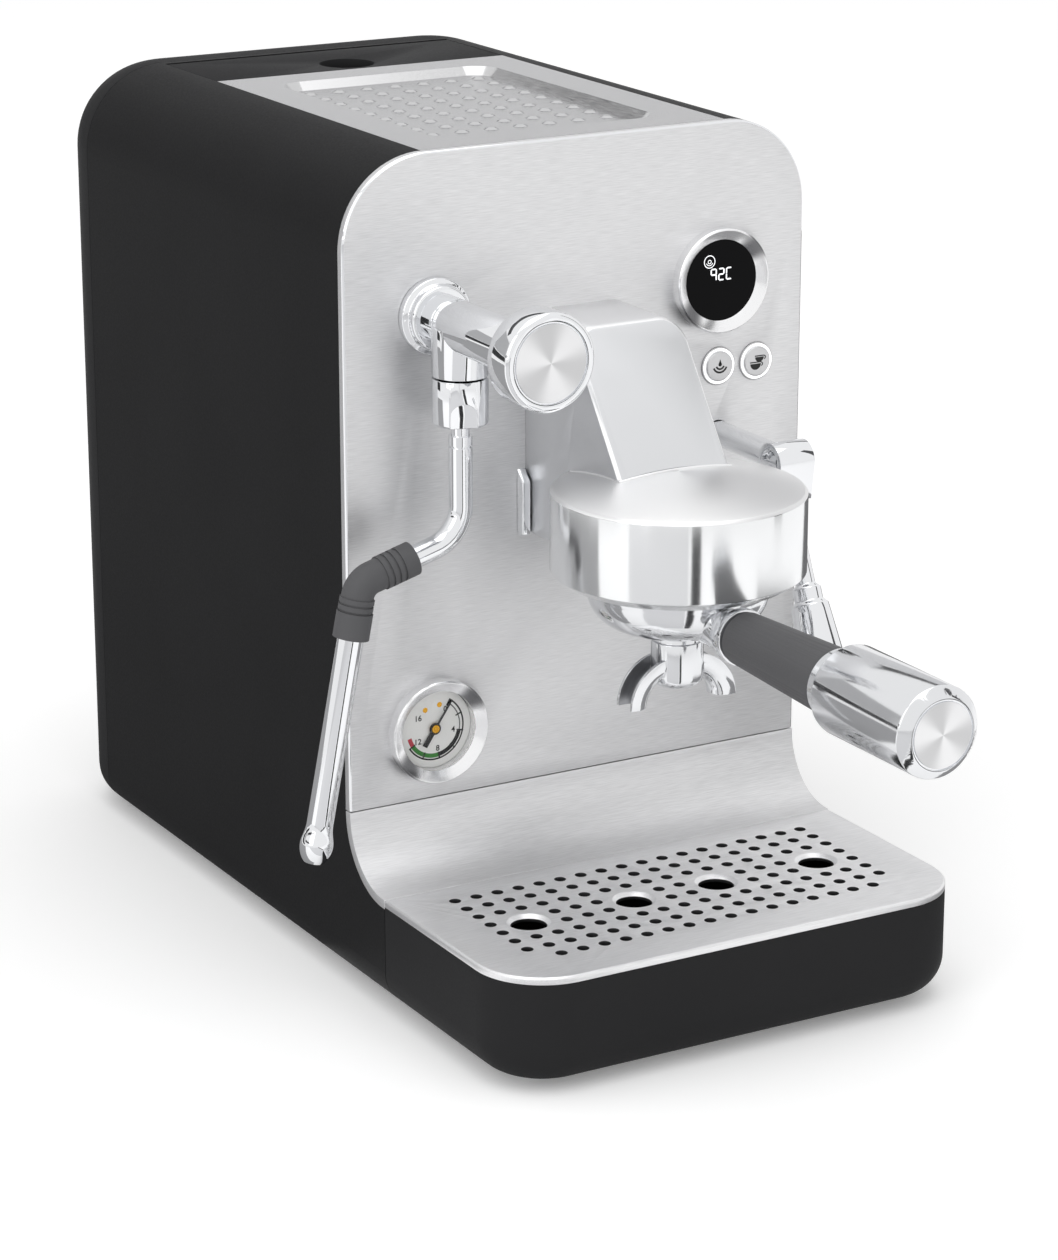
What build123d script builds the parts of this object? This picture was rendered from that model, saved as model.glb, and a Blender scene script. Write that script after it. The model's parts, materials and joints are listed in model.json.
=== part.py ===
from build123d import *
import os
from math import cos, radians, sin

# Compact single-group espresso machine with a steam wand and a hot-water spout.
# Millimetres, +Z up. The origin is on the floor, on the mid-plane, under the front panel's face.
# The front faces -Y and +X is to the right as the user sees it.

# Clearances
seat_gap = 0.1
joint_gap = 0.3
slide_gap = 0.4
running_gap = 0.06
overlap = 1.0

# Casing
casing_width = 220.0
casing_height = 354.0
casing_wall = 2.5
casing_top_radius = 38.0
casing_bottom_radius = 16.0
casing_back_radius = 44.0
casing_seam_y = 252.0
rear_cover_depth = 46.0
foot_height = 2.5
foot_radius = 10.0
foot_spigot_radius = 3.0
foot_inset = 16.0
pan_thickness = 3.5
bulkhead_thickness = 2.5
chassis_thickness = 1.5
chassis_side_gap = 14.0
chassis_headroom = 22.0
vent_count = 6
vent_pitch = 9.0
vent_width = 3.5
vent_height = 46.0
vent_bottom = 210.0
cover_screw_head_radius = 3.5
cover_screw_head_height = 2.2
cover_screw_shank_radius = 1.6
cover_screw_shank_length = 8.0
cover_screw_spread = 112.0
cover_screw_low = 60.0
cover_screw_drop = 64.0

# Front panel and apron
panel_thickness = 4.0
panel_edge_bevel = 0.9
apron_seam_height = 79.5
apron_seam_gap = 0.5
apron_radius = 28.5
apron_lip = 1.5

# Top plate, tank lid and the ledge that carries them
ledge_depth = 5.7
ledge_thickness = 2.5
ledge_width = 5.5
ledge_web = 4.0
ledge_bar = 7.0
recess_width = 106.0
recess_margin = 18.5
recess_corner = 12.0
recess_deep = 3.6
recess_slant = 45.0
dot_pitch = 14.0
dot_margin = 4.0
dot_radius = 3.6
dot_height = 0.8
lid_length = 54.0
lid_seam_margin = 4.4
lid_hinge_inset = 22.0
lid_ear_width = 4.0
lid_pin_radius = 0.8
lid_skin = 0.9
finger_hole_radius = 12.5
finger_hole_inset = 15.0

# Water tank
tank_wall = 2.0
tank_bottom = 62.0
tank_side_gap = 1.0
tank_length = 47.0
tank_corner = 8.0
tank_outlet_radius = 7.0
tank_outlet_depth = 8.0
valve_seat_radius = 13.0

# Drip tray and grate
tray_reach = 108.0
tray_wall = 2.5
tray_corner_radius = 30.0
tray_floor_height = 9.0
tongue_inset = 20.0
grate_thickness = 3.0
grate_bevel = 0.8
grate_rib_depth = 2.5
grate_rib_width = 2.0
hole_pitch = 10.0
hole_columns = 18
hole_rows = 8
hole_radius = 2.5
drain_radius = 7.5
drain_sink = 1.6
drain_near_x = 20.0
drain_far_x = 70.0
hole_front_margin = 23.0

# Display, gauge and buttons
bezel_radius = 22.5
bezel_window_radius = 17.4
bezel_height = 5.5
bezel_edge = 0.8
bezel_stem_radius = 20.0
lens_thickness = 1.5
lens_sink = 2.6
display_inset = 42.5
display_drop = 67.0
gauge_inset = 41.0
gauge_z = 109.5
gauge_can_radius = 21.5
gauge_can_depth = 24.0
dial_thickness = 3.4
needle_length = 13.0
needle_tail = 7.0
needle_width = 1.3
needle_thickness = 0.5
needle_rise = 0.8
needle_hub_radius = 1.9
needle_shaft_radius = 0.8
needle_zero_angle = 35.0
button_drop = 37.7
button_shift = 0.7
button_pitch = 18.9
button_cap_radius = 6.6
button_ring_radius = 8.2
button_ring_height = 0.7
button_cap_height = 1.7
button_travel = 1.5
button_stem_length = 8.0
switch_radius = 3.0
board_standoff = 8.5
board_thickness = 1.6
board_half_width = 27.0
board_below = 13.3
board_above = 24.0
board_post_radius = 3.0
board_post_inset = 5.0

# Steam side
steam_inset = 41.0
steam_drop = 67.0
steam_stem_radius = 6.0
rosette_radius = 16.0
rosette_lip_radius = 13.6
rosette_base = 3.5
rosette_step = 1.0
rosette_height = 8.5
arm_radius = 10.5
arm_length = 69.0
branch_forward = 22.5
branch_radius = 11.5
swivel_drop = 20.0
swivel_gap = 0.8
cup_height = 19.5
cup_edge = 1.0
cup_bore_radius = 7.2
cup_bore_depth = 12.5
cup_flat_width = 11.2
cup_flat_height = 10.5
cup_flat_depth = 2.6
cup_flat_turn = 20.0
cup_pin_radius = 4.0
cup_pin_length = 6.0
knob_radius = 20.0
knob_length = 17.5
knob_edge = 1.4
knob_disc_radius = 16.5
knob_disc_depth = 1.4
knob_gap = 0.8
spindle_radius = 3.0
spindle_length = 40.0
spindle_seat = 8.0

# Steam wand, bent in a plane parallel to the panel
wand_tube_radius = 4.9
wand_ball_radius = 6.9
wand_neck_radius = 3.7
wand_neck_length = 10.0
wand_groove_drop = 14.0
wand_groove_width = 0.8
wand_groove_depth = 0.6
wand_bend_drop = 39.3
wand_bend_radius = 17.0
wand_bend_turn = 74.0
wand_link_length = 30.1
wand_grip_lead = 19.5
wand_grip_bend_radius = 9.0
wand_lower_lean = 11.2
wand_grip_radius = 6.7
wand_rib_radius = 7.2
wand_cuff_radius = 7.5
wand_upper_cuff_length = 6.4
wand_cuff_length = 10.8
wand_lower_grip = 17.3
wand_rib_width = 2.0
wand_rib_pitch = 2.9
wand_rib_count = 3
wand_lower_rib_count = 2
wand_sleeve_radius = 5.5
wand_sleeve_length = 78.5
nozzle_radius = 6.9
nozzle_length = 16.6
nozzle_bulge = 9.0
nozzle_tip_radius = 4.2

# Group head and neck
group_y = -79.0
neck_width = 52.0
neck_top = 284.0
neck_bottom = 190.5
neck_flat = 37.0
neck_front_y = -76.0
neck_front_z = 229.0
neck_round = 11.0
neck_bevel = 1.3
group_stem_radius = 12.0
group_stem_z = 236.0
drum_radius = 52.0
drum_low = 190.5
drum_high = 224.0
drum_top_bevel = 1.2
dome_rise = 7.0
rim_radius = 46.0
rim_low = 186.5
socket_radius = 35.6
groove_radius = 40.5
socket_ledge = 3.2
groove_height = 8.6
socket_ceiling = 206.0
gasket_height = 6.4
gasket_width = 6.6
screen_thickness = 2.6
rail_width = 4.0
rail_depth = 5.0
rail_low = 189.5
rail_high = 217.5

# Portafilter
filter_ring_radius = 35.0
ear_radius = 39.8
ear_height = 5.2
ear_span = 44.0
bowl_radius = 38.0
bowl_low = 167.0
bowl_wall = 2.5
bowl_lip_height = 4.0
bowl_lip_step = 1.0
bowl_round = 15.0
basket_radius = 28.5
basket_wall = 0.9
basket_depth = 24.0
basket_flange = 1.2
spout_collar_radius = 9.6
spout_collar_height = 6.5
spout_radius = 10.8
spout_length = 19.5
spout_round = 5.0
spout_arm_centre_x = 5.0
spout_arm_outer = 20.0
spout_arm_inner = 10.5
spout_arm_width = 12.0
spout_arm_wall = 1.6
spout_tip_z = 134.5
handle_z = 174.4
handle_boss_radius = 9.0
handle_root_reach = 39.0
ferrule_radius = 8.6
ferrule_length = 6.5
ferrule_flange_radius = 11.6
ferrule_flange_length = 4.0
grip_front_radius = 13.6
grip_back_radius = 10.9
grip_length = 66.5
grip_edge = 1.0
band_radius = 14.6
band_length = 6.5
cap_radius = 18.2
cap_length = 62.0
cap_bevel = 4.0
cap_shoulder = 1.6
disc_radius = 13.8
disc_depth = 1.5
unlock_angle = 45.0

# Hot-water spout
hot_x = 68.5
hot_drop = 134.0
hot_stem_radius = 5.5
hot_width = 17.0
hot_hood_radius = 8.5
hot_band = 2.6
hot_reach = 53.5
hot_skirt_drop = 15.0
hot_skirt_tip_width = 14.0
hot_nozzle_lean = 24.0
hot_nozzle_length = 74.0
hot_nozzle_top_radius = 4.2
hot_nozzle_tip_radius = 9.8
hot_nozzle_bore = 2.5
hot_setback = 6.0
hot_boss_length = 11.0
hot_boss_radius = 5.0
hot_first_step = 43.0
hot_second_step = 50.0

# Inside
brew_block_width = 76.0
brew_block_depth = 66.0
brew_block_low = 196.0
brew_block_high = 280.0
steam_block_width = 50.0
steam_block_depth = 58.0
steam_block_below = 61.0
steam_block_above = 27.0
fin_count = 6
fin_depth = 5.0
solenoid_radius = 13.0
solenoid_length = 34.0
solenoid_tail_length = 44.0
solenoid_z = 254.0
pump_setback = 72.0
pump_z = 44.0
pump_radius = 17.0
pump_coil_size = 44.0
pump_coil_length = 40.0
pump_tail_length = 26.0
pump_port_radius = 5.0
pump_port_length = 14.0
bracket_thickness = 2.0
bracket_width = 52.0
flow_x = 62.0
flow_setback = 45.3
flow_radius = 18.0
flow_height = 22.0
hose_radius = 3.5
hose_bore = 2.0
hose_bend = 12.0
hose_rise = 72.0
inlet_x = 34.0
inlet_z = 46.0
inlet_flange_radius = 13.0
inlet_flange_height = 3.0
inlet_bush_radius = 9.0
inlet_bush_length = 12.0
inlet_bore_radius = 4.0
inlet_edge = 1.0

# Levels and faces that follow from the driving sizes
half_width = casing_width / 2
cover_screw_high = casing_height - cover_screw_drop
display_x = half_width - display_inset
display_z = casing_height - display_drop
button_z = display_z - button_drop
button_left_x = display_x + button_shift
button_right_x = button_left_x + button_pitch
board_low = button_z - board_below
board_high = display_z + board_above
gauge_x = gauge_inset - half_width
steam_x = steam_inset - half_width
steam_z = casing_height - steam_drop
swivel_height = steam_z - swivel_drop
steam_block_low = steam_z - steam_block_below
steam_block_high = steam_z + steam_block_above
hot_z = casing_height - hot_drop
back_y = casing_seam_y + rear_cover_depth
grate_top = apron_seam_height - apron_radius
tray_joint_y = -(apron_radius + apron_lip)
tray_front_y = tray_joint_y - tray_reach
pan_top = foot_height + pan_thickness
pan_half = half_width - casing_bottom_radius - joint_gap
chassis_back = panel_thickness + chassis_thickness
top_half = half_width - casing_top_radius
ledge_z = casing_height - ledge_depth
plate_front_y = panel_thickness + joint_gap
lid_back_y = casing_seam_y - lid_seam_margin
lid_front_y = lid_back_y - lid_length
plate_back_y = lid_front_y - joint_gap
recess_length = plate_back_y - plate_front_y - 2 * recess_margin
ledge_half = top_half - ledge_width
tank_half = ledge_half - tank_side_gap
bar_back_y = plate_back_y + ledge_bar / 2
tank_front_y = bar_back_y + tank_side_gap
tank_back_y = tank_front_y + tank_length
tank_top = ledge_z - joint_gap
hinge_radius = (ledge_depth - joint_gap) / 2
hinge_y = lid_back_y - hinge_radius
hinge_z = casing_height - hinge_radius
tank_mid_y = (tank_front_y + tank_back_y) / 2
flow_y = tank_mid_y - flow_setback
pump_y = flow_y - pump_setback
knob_back_y = -(rosette_height + arm_length + knob_gap)
knob_front_y = knob_back_y - knob_length
groove_low = rim_low + socket_ledge
groove_high = groove_low + groove_height
gasket_low = socket_ceiling - gasket_height
basket_top = gasket_low - joint_gap
ring_top = basket_top - basket_flange
grip_rear_y = group_y - handle_root_reach - ferrule_length - ferrule_flange_length
grip_fore_y = grip_rear_y - grip_length
cap_rear_y = grip_fore_y - band_length
cap_front_y = cap_rear_y - cap_length
spout_top = bowl_low - spout_collar_height
board_front = chassis_back + board_standoff

# Round openings shared by the panel and the chassis plate behind it: x, z and radius
plate_openings = [
    (display_x, display_z, bezel_stem_radius),
    (gauge_x, gauge_z, bezel_stem_radius),
    (button_left_x, button_z, button_ring_radius),
    (button_right_x, button_z, button_ring_radius),
    (steam_x, steam_z, steam_stem_radius),
    (0.0, group_stem_z, group_stem_radius),
    (hot_x, hot_z, hot_stem_radius),
]


def block(x_range, y_range, z_range):
    """Box between two corners."""
    ranges = (x_range, y_range, z_range)
    centre = [(low + high) / 2 for low, high in ranges]
    size = [high - low for low, high in ranges]
    return Pos(*centre) * Box(*size)


def across(half, y_range, z_range):
    """Box that is centred on the mid-plane."""
    return block((-half, half), y_range, z_range)


def rod(radius, start, end):
    """Cylinder between two points."""
    direction = Vector(*end) - Vector(*start)
    base = Plane(origin=start, z_dir=direction)
    return extrude(base * Circle(radius), amount=direction.length)


def bore_y(radius, x, z, y_low, y_high):
    """Cylinder along Y."""
    return rod(radius, (x, y_low, z), (x, y_high, z))


def turned_y(profile, x, z):
    """Turned piece about an axis along Y, from points of radius and y."""
    face = make_face(Polyline(*profile, close=True))
    return Pos(x, 0, z) * revolve(face, axis=Axis.Y)


def turned_z(profile, x, y):
    """Turned piece about an axis along Z, from points of radius and z."""
    face = make_face(Plane.XZ * Polyline(*profile, close=True))
    return Pos(x, y, 0) * revolve(face, axis=Axis.Z)


def side_prism(outline, half):
    """Prism across the mid-plane from an outline of y and z."""
    return extrude(Plane.YZ * make_face(outline), amount=half, both=True)


def rounded_casing(inset, front_y):
    """Casing block, drawn in by an even inset, with its rounded top, back and bottom edges."""
    solid = across(
        half_width - inset,
        (front_y, back_y - inset),
        (foot_height + inset, casing_height - inset),
    )
    upright = solid.edges().filter_by(Axis.Z).sort_by(Axis.Y)[-2:]
    solid = fillet(upright, casing_back_radius - inset)
    top = solid.faces().sort_by(Axis.Z)[-1].edges().sort_by(Axis.Y)[1:]
    solid = fillet(top, casing_top_radius - inset)
    bottom = solid.faces().sort_by(Axis.Z)[0].edges().sort_by(Axis.Y)[1:]
    return fillet(bottom, casing_bottom_radius - inset)


def casing_skin():
    """Hollow casing, open at the front, before it is cut into shell and rear cover."""
    return rounded_casing(0, tray_joint_y) - rounded_casing(casing_wall, tray_joint_y - overlap)


def apron_curve(offset):
    """Concave outline of the apron, seen from the side, set back by an offset."""
    radius = apron_radius + offset
    diagonal = radius * cos(radians(45))
    top = (offset, apron_seam_height)
    middle = (-apron_radius + diagonal, apron_seam_height - diagonal)
    foot = (-apron_radius, grate_top - offset)
    return top, middle, foot


def make_body_shell():
    """Bent steel wrapper with the side walls that follow the apron and the ledge for the top plate."""
    reach = casing_height + overlap
    ahead = tray_joint_y - overlap
    top, middle, foot = apron_curve(panel_thickness)
    front_space = Curve() + [
        Polyline((ahead, foot[1]), (ahead, reach), (top[0], reach), top),
        ThreePointArc(top, middle, foot),
        Line(foot, (ahead, foot[1])),
    ]
    shell = casing_skin() & across(casing_width, (ahead, casing_seam_y), (0, reach))
    shell -= side_prism(front_space, casing_width)
    shell -= across(
        pan_half + joint_gap, (ahead, casing_seam_y + overlap), (0, foot_height + casing_wall + overlap)
    )
    rear = lid_back_y + joint_gap
    side = top_half + joint_gap
    frame = across(
        side + ledge_web,
        (panel_thickness, rear + ledge_web),
        (ledge_z - ledge_thickness, casing_height - casing_wall),
    )
    shell += frame
    shell -= across(side, (0, rear), (ledge_z, reach))
    shell -= across(
        ledge_half,
        (panel_thickness + ledge_width, plate_back_y - ledge_bar / 2),
        (0, reach),
    )
    shell -= across(ledge_half, (bar_back_y, tank_back_y + tank_side_gap), (pan_top, reach))
    return shell


def make_rear_cover():
    """Moulded back with rounded corners, vent slots and the hole for the mains inlet."""
    cover = casing_skin() & across(
        casing_width, (casing_seam_y + joint_gap, back_y + overlap), (0, casing_height)
    )
    deep = (back_y - casing_wall - overlap, back_y + overlap)
    for index in range(vent_count):
        x = (index - (vent_count - 1) / 2) * vent_pitch
        cover -= block(
            (x - vent_width / 2, x + vent_width / 2), deep, (vent_bottom, vent_bottom + vent_height)
        )
    cover -= bore_y(inlet_bush_radius + seat_gap, inlet_x, inlet_z, *deep)
    for x, z in cover_screw_places():
        cover -= bore_y(cover_screw_shank_radius + seat_gap, x, z, *deep)
    return cover


def cover_screw_places():
    half = cover_screw_spread / 2
    return [(x, z) for x in (-half, half) for z in (cover_screw_low, cover_screw_high)]


def make_cover_screws():
    """Pan-head screws that hold the rear cover."""
    screws = []
    for x, z in cover_screw_places():
        head = bore_y(cover_screw_head_radius, x, z, back_y, back_y + cover_screw_head_height)
        shank = bore_y(cover_screw_shank_radius, x, z, back_y - cover_screw_shank_length, back_y)
        screws.append(head + shank)
    return Compound(children=screws)


def foot_places():
    x = pan_half - foot_inset
    rows = (tongue_front_y() + foot_inset, casing_seam_y - foot_inset)
    return [(sign * x, y) for sign in (-1, 1) for y in rows]


def tongue_front_y():
    return tray_front_y + tongue_inset


def make_base_pan():
    """Floor plate with a tongue that carries the drip tray and a bulkhead behind the tray."""
    pan = across(pan_half, (tongue_front_y(), casing_seam_y), (foot_height, pan_top))
    bulkhead_y = tray_joint_y + bulkhead_thickness
    pan += across(
        pan_half,
        (tray_joint_y, bulkhead_y),
        (foot_height, grate_top - panel_thickness - joint_gap),
    )
    for x, y in foot_places():
        pan -= rod(foot_spigot_radius + seat_gap, (x, y, 0), (x, y, pan_top + overlap))
    return pan


def make_rubber_feet():
    """Round feet, each with a spigot pushed up into the base pan."""
    feet = []
    for x, y in foot_places():
        pad = rod(foot_radius, (x, y, 0), (x, y, foot_height))
        feet.append(pad + rod(foot_spigot_radius, (x, y, 0), (x, y, pan_top)))
    return Compound(children=feet)


def make_chassis_plate():
    """Sheet behind the front panel that carries the boilers and the board."""
    plate = across(
        half_width - chassis_side_gap,
        (panel_thickness, chassis_back),
        (pan_top, casing_height - chassis_headroom),
    )
    for x, z, radius in plate_openings:
        plate -= bore_y(radius + seat_gap, x, z, 0, chassis_back + overlap)
    return plate


def make_front_panel():
    """Brushed steel face with rounded upper corners and a polished bevel round its edge."""
    plate = across(
        half_width, (0, panel_thickness), (apron_seam_height + apron_seam_gap, casing_height)
    )
    corners = plate.edges().filter_by(Axis.Y).sort_by(Axis.Z)[-2:]
    plate = fillet(corners, casing_top_radius)
    rim = plate.faces().sort_by(Axis.Y)[0].edges().sort_by(Axis.Z)[1:]
    plate = chamfer(rim, panel_edge_bevel)
    for x, z, radius in plate_openings:
        plate -= bore_y(radius + seat_gap, x, z, -overlap, panel_thickness + overlap)
    return plate


def make_apron_panel():
    """Steel sheet that sweeps forward from the panel to the grate."""
    top, middle, foot = apron_curve(0)
    back_top, back_middle, back_foot = apron_curve(panel_thickness)
    outline = Curve() + [
        ThreePointArc(top, middle, foot),
        Polyline(
            foot,
            (tray_joint_y, grate_top),
            (tray_joint_y, grate_top - panel_thickness),
            back_foot,
        ),
        ThreePointArc(back_foot, back_middle, back_top),
        Line(back_top, top),
    ]
    return side_prism(outline, half_width)


def make_top_plate():
    """Cup rest: a pressed plate with a slant-walled recess and rows of raised dots."""
    plate = across(top_half, (plate_front_y, plate_back_y), (ledge_z, casing_height))
    middle_y = (plate_front_y + plate_back_y) / 2
    rim = Pos(0, middle_y, casing_height) * RectangleRounded(recess_width, recess_length, recess_corner)
    plate -= extrude(rim, amount=-recess_deep, taper=recess_slant)
    dot = Cone(dot_radius, dot_radius / 2, dot_height, align=(Align.CENTER, Align.CENTER, Align.MIN))
    floor = Pos(0, middle_y, casing_height - recess_deep)
    columns, rows = (int((side - dot_margin) / dot_pitch) for side in (recess_width, recess_length))
    places = GridLocations(dot_pitch, dot_pitch, columns, rows)
    return plate + [floor * place * dot for place in places]


def make_tank_lid():
    """Lid with a finger hole, a rounded rear edge and pins that turn in the tank's ears."""
    low = casing_height - 2 * hinge_radius
    lid = across(top_half, (lid_front_y, hinge_y), (low, casing_height))
    lid += rod(hinge_radius, (-top_half, hinge_y, hinge_z), (top_half, hinge_y, hinge_z))
    hole_y = lid_front_y + finger_hole_inset
    lid -= rod(finger_hole_radius, (0, hole_y, 0), (0, hole_y, casing_height + overlap))
    notch_half = lid_ear_width / 2 + slide_gap
    notch_front = hinge_y - 2 * hinge_radius
    for x in ear_places():
        lid -= block((x - notch_half, x + notch_half), (notch_front, lid_back_y + overlap), (0, hinge_z))
        lid -= rod(
            hinge_radius - lid_skin, (x - notch_half, hinge_y, hinge_z), (x + notch_half, hinge_y, hinge_z)
        )
        lid += rod(lid_pin_radius, (x - notch_half, hinge_y, hinge_z), (x + notch_half, hinge_y, hinge_z))
    return lid


def ear_places():
    x = tank_half - lid_hinge_inset
    return (-x, x)


def make_water_tank():
    """Open tank with an outlet under its floor and two ears for the lid's pins."""
    outer = across(tank_half, (tank_front_y, tank_back_y), (tank_bottom, tank_top))
    outer = fillet(outer.edges().filter_by(Axis.Z), tank_corner)
    inner = across(
        tank_half - tank_wall,
        (tank_front_y + tank_wall, tank_back_y - tank_wall),
        (tank_bottom + tank_wall, tank_top + overlap),
    )
    inner = fillet(inner.edges().filter_by(Axis.Z), tank_corner - tank_wall)
    tank = outer - inner
    outlet = (0, tank_mid_y)
    tank += rod(tank_outlet_radius, (*outlet, tank_bottom - tank_outlet_depth), (*outlet, tank_bottom))
    tank -= rod(
        tank_outlet_radius - tank_wall,
        (*outlet, tank_bottom - tank_outlet_depth - overlap),
        (*outlet, tank_bottom + tank_wall + overlap),
    )
    ear_round = hinge_radius - lid_skin - joint_gap
    half = lid_ear_width / 2
    for x in ear_places():
        ear = block(
            (x - half, x + half),
            (tank_back_y - 2 * tank_wall, hinge_y - joint_gap),
            (tank_top - 2 * tank_wall, hinge_z - joint_gap),
        )
        ear += rod(ear_round, (x - half, hinge_y, hinge_z), (x + half, hinge_y, hinge_z))
        ear -= rod(
            lid_pin_radius + running_gap,
            (x - half - overlap, hinge_y, hinge_z),
            (x + half + overlap, hinge_y, hinge_z),
        )
        tank += ear
    return tank


def make_tank_valve_seat():
    """Post on the base pan whose socket takes the tank's outlet."""
    centre = (0, tank_mid_y)
    seat = rod(valve_seat_radius, (*centre, pan_top), (*centre, tank_bottom))
    socket_floor = tank_bottom - tank_outlet_depth - slide_gap
    seat -= rod(tank_outlet_radius + joint_gap, (*centre, socket_floor), (*centre, tank_bottom + overlap))
    return seat


def tray_block(inset, low, high, back):
    """Plan shape of the tray between two levels, with rounded front corners."""
    solid = across(half_width - inset, (tray_front_y + inset, back), (low, high))
    corners = solid.edges().filter_by(Axis.Z).sort_by(Axis.Y)[:2]
    return fillet(corners, tray_corner_radius - inset)


def make_drip_tray():
    """Tray with a rounded lower edge, hollow from above and relieved below for the base tongue."""
    rim = grate_top - grate_thickness
    back = tray_joint_y - slide_gap
    tray = tray_block(0, foot_height, rim, back)
    under = tray.faces().sort_by(Axis.Z)[0].edges().sort_by(Axis.Y)[:-1]
    tray = fillet(under, casing_bottom_radius)
    well = tray_block(tray_wall, tray_floor_height, rim + overlap, back - tray_wall)
    well = fillet(well.faces().sort_by(Axis.Z)[0].edges(), tray_wall)
    tray -= well & rounded_tray_limit()
    tray -= across(
        pan_half + joint_gap,
        (tongue_front_y() - slide_gap, back + overlap),
        (0, pan_top + slide_gap),
    )
    return tray


def rounded_tray_limit():
    """Room inside the tray, kept one wall away from its rounded lower edge."""
    back = tray_joint_y
    solid = tray_block(tray_wall, foot_height + tray_wall, grate_top + overlap, back)
    under = solid.faces().sort_by(Axis.Z)[0].edges().sort_by(Axis.Y)[:-1]
    return fillet(under, casing_bottom_radius - tray_wall)


def grate_hole_places():
    """Square grid of small holes, leaving out the four round drains and the two front corners."""
    front = tray_front_y + hole_front_margin
    last = (hole_columns - 1) / 2
    drain_y = front + (hole_rows - 1) / 2 * hole_pitch
    places = []
    for row in range(hole_rows):
        for column in range(hole_columns):
            x = (column - last) * hole_pitch
            y = front + row * hole_pitch
            near_drain = any(
                abs(abs(x) - drain_x) < hole_pitch and abs(y - drain_y) < hole_pitch
                for drain_x in (drain_near_x, drain_far_x)
            )
            front_corner = row == 0 and column in (0, hole_columns - 1)
            if not near_drain and not front_corner:
                places.append((x, y))
    drains = [(sign * x, drain_y) for sign in (-1, 1) for x in (drain_near_x, drain_far_x)]
    return places, drains


def make_drip_grate():
    """Steel grate with a bevelled edge, small holes, countersunk drains and locating ribs below."""
    low = grate_top - grate_thickness
    back = tray_joint_y - slide_gap
    grate = tray_block(0, low, grate_top, back)
    rim = grate.faces().sort_by(Axis.Z)[-1].edges().sort_by(Axis.Y)[:-1]
    grate = chamfer(rim, grate_bevel)
    holes, drains = grate_hole_places()
    cutters = [rod(hole_radius, (x, y, low - overlap), (x, y, grate_top + overlap)) for x, y in holes]
    sink = [
        (0, low - overlap),
        (drain_radius, low - overlap),
        (drain_radius, grate_top - drain_sink),
        (drain_radius + drain_sink, grate_top),
        (drain_radius + drain_sink, grate_top + overlap),
        (0, grate_top + overlap),
    ]
    cutters += [turned_z(sink, x, y) for x, y in drains]
    grate -= cutters
    outer = half_width - tray_wall - joint_gap
    rib_y = (tray_front_y + tray_corner_radius, back - tray_corner_radius)
    for sign in (-1, 1):
        edges = sorted((sign * outer, sign * (outer - grate_rib_width)))
        grate += block(edges, rib_y, (low - grate_rib_depth, low))
    return grate


def bezel_profile():
    """Ring section shared by the display and the gauge: a cone that leads in to the glass, and a stem."""
    return [
        (bezel_window_radius, chassis_back),
        (bezel_stem_radius, chassis_back),
        (bezel_stem_radius, 0),
        (bezel_radius, 0),
        (bezel_radius, bezel_edge - bezel_height),
        (bezel_radius - bezel_edge, -bezel_height),
        (bezel_window_radius, -lens_sink),
    ]


def make_bezel(x, z):
    return turned_y(bezel_profile(), x, z)


def make_lens(x, z):
    """Flat disc of glass seated in the bezel."""
    return bore_y(bezel_window_radius - seat_gap, x, z, lens_thickness - lens_sink, -lens_sink)


def make_gauge_can():
    """Round can behind the panel with a hole for the needle's shaft."""
    can = bore_y(gauge_can_radius, gauge_x, gauge_z, chassis_back, chassis_back + gauge_can_depth)
    return can - bore_y(
        needle_shaft_radius + running_gap,
        gauge_x,
        gauge_z,
        chassis_back - overlap,
        chassis_back + gauge_can_depth / 2,
    )


def make_gauge_dial():
    dial = bore_y(
        bezel_window_radius - seat_gap, gauge_x, gauge_z, chassis_back - dial_thickness, chassis_back
    )
    return dial - bore_y(needle_shaft_radius + running_gap, gauge_x, gauge_z, 0, chassis_back + overlap)


def make_gauge_needle():
    """Pointer with a tail, a hub and the shaft that turns in the can."""
    back = chassis_back - dial_thickness - needle_rise
    front = back - needle_thickness
    half = needle_width / 2
    outline = Polyline((-half, -needle_tail), (half, -needle_tail), (half / 2, needle_length),
                       (-half / 2, needle_length), close=True)
    pointer = extrude(Plane.XZ * make_face(outline), amount=needle_thickness)
    pointer = Pos(0, back, 0) * pointer
    hub = bore_y(needle_hub_radius, 0, 0, front - needle_thickness, back)
    shaft = bore_y(needle_shaft_radius, 0, 0, back, chassis_back + gauge_can_depth / 2 - joint_gap)
    return Pos(gauge_x, 0, gauge_z) * Rot(0, needle_zero_angle, 0) * (pointer + hub + shaft)


def make_button_light_rings():
    """Two translucent rings pressed into the panel round the buttons."""
    bore = button_cap_radius + joint_gap
    profile = [
        (bore, chassis_back),
        (button_ring_radius, chassis_back),
        (button_ring_radius, -button_ring_height),
        (bore, -button_ring_height),
    ]
    return Compound(children=[turned_y(profile, x, button_z) for x in (button_left_x, button_right_x)])


def make_button(x):
    """Cap with a softened edge and the stem that presses the switch behind it."""
    edge = button_cap_height / 3
    profile = [
        (0, button_stem_length),
        (button_cap_radius / 2, button_stem_length),
        (button_cap_radius / 2, panel_thickness),
        (button_cap_radius, panel_thickness),
        (button_cap_radius, edge - button_cap_height),
        (button_cap_radius - edge, -button_cap_height),
        (0, -button_cap_height),
    ]
    return turned_y(profile, x, button_z)


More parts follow.
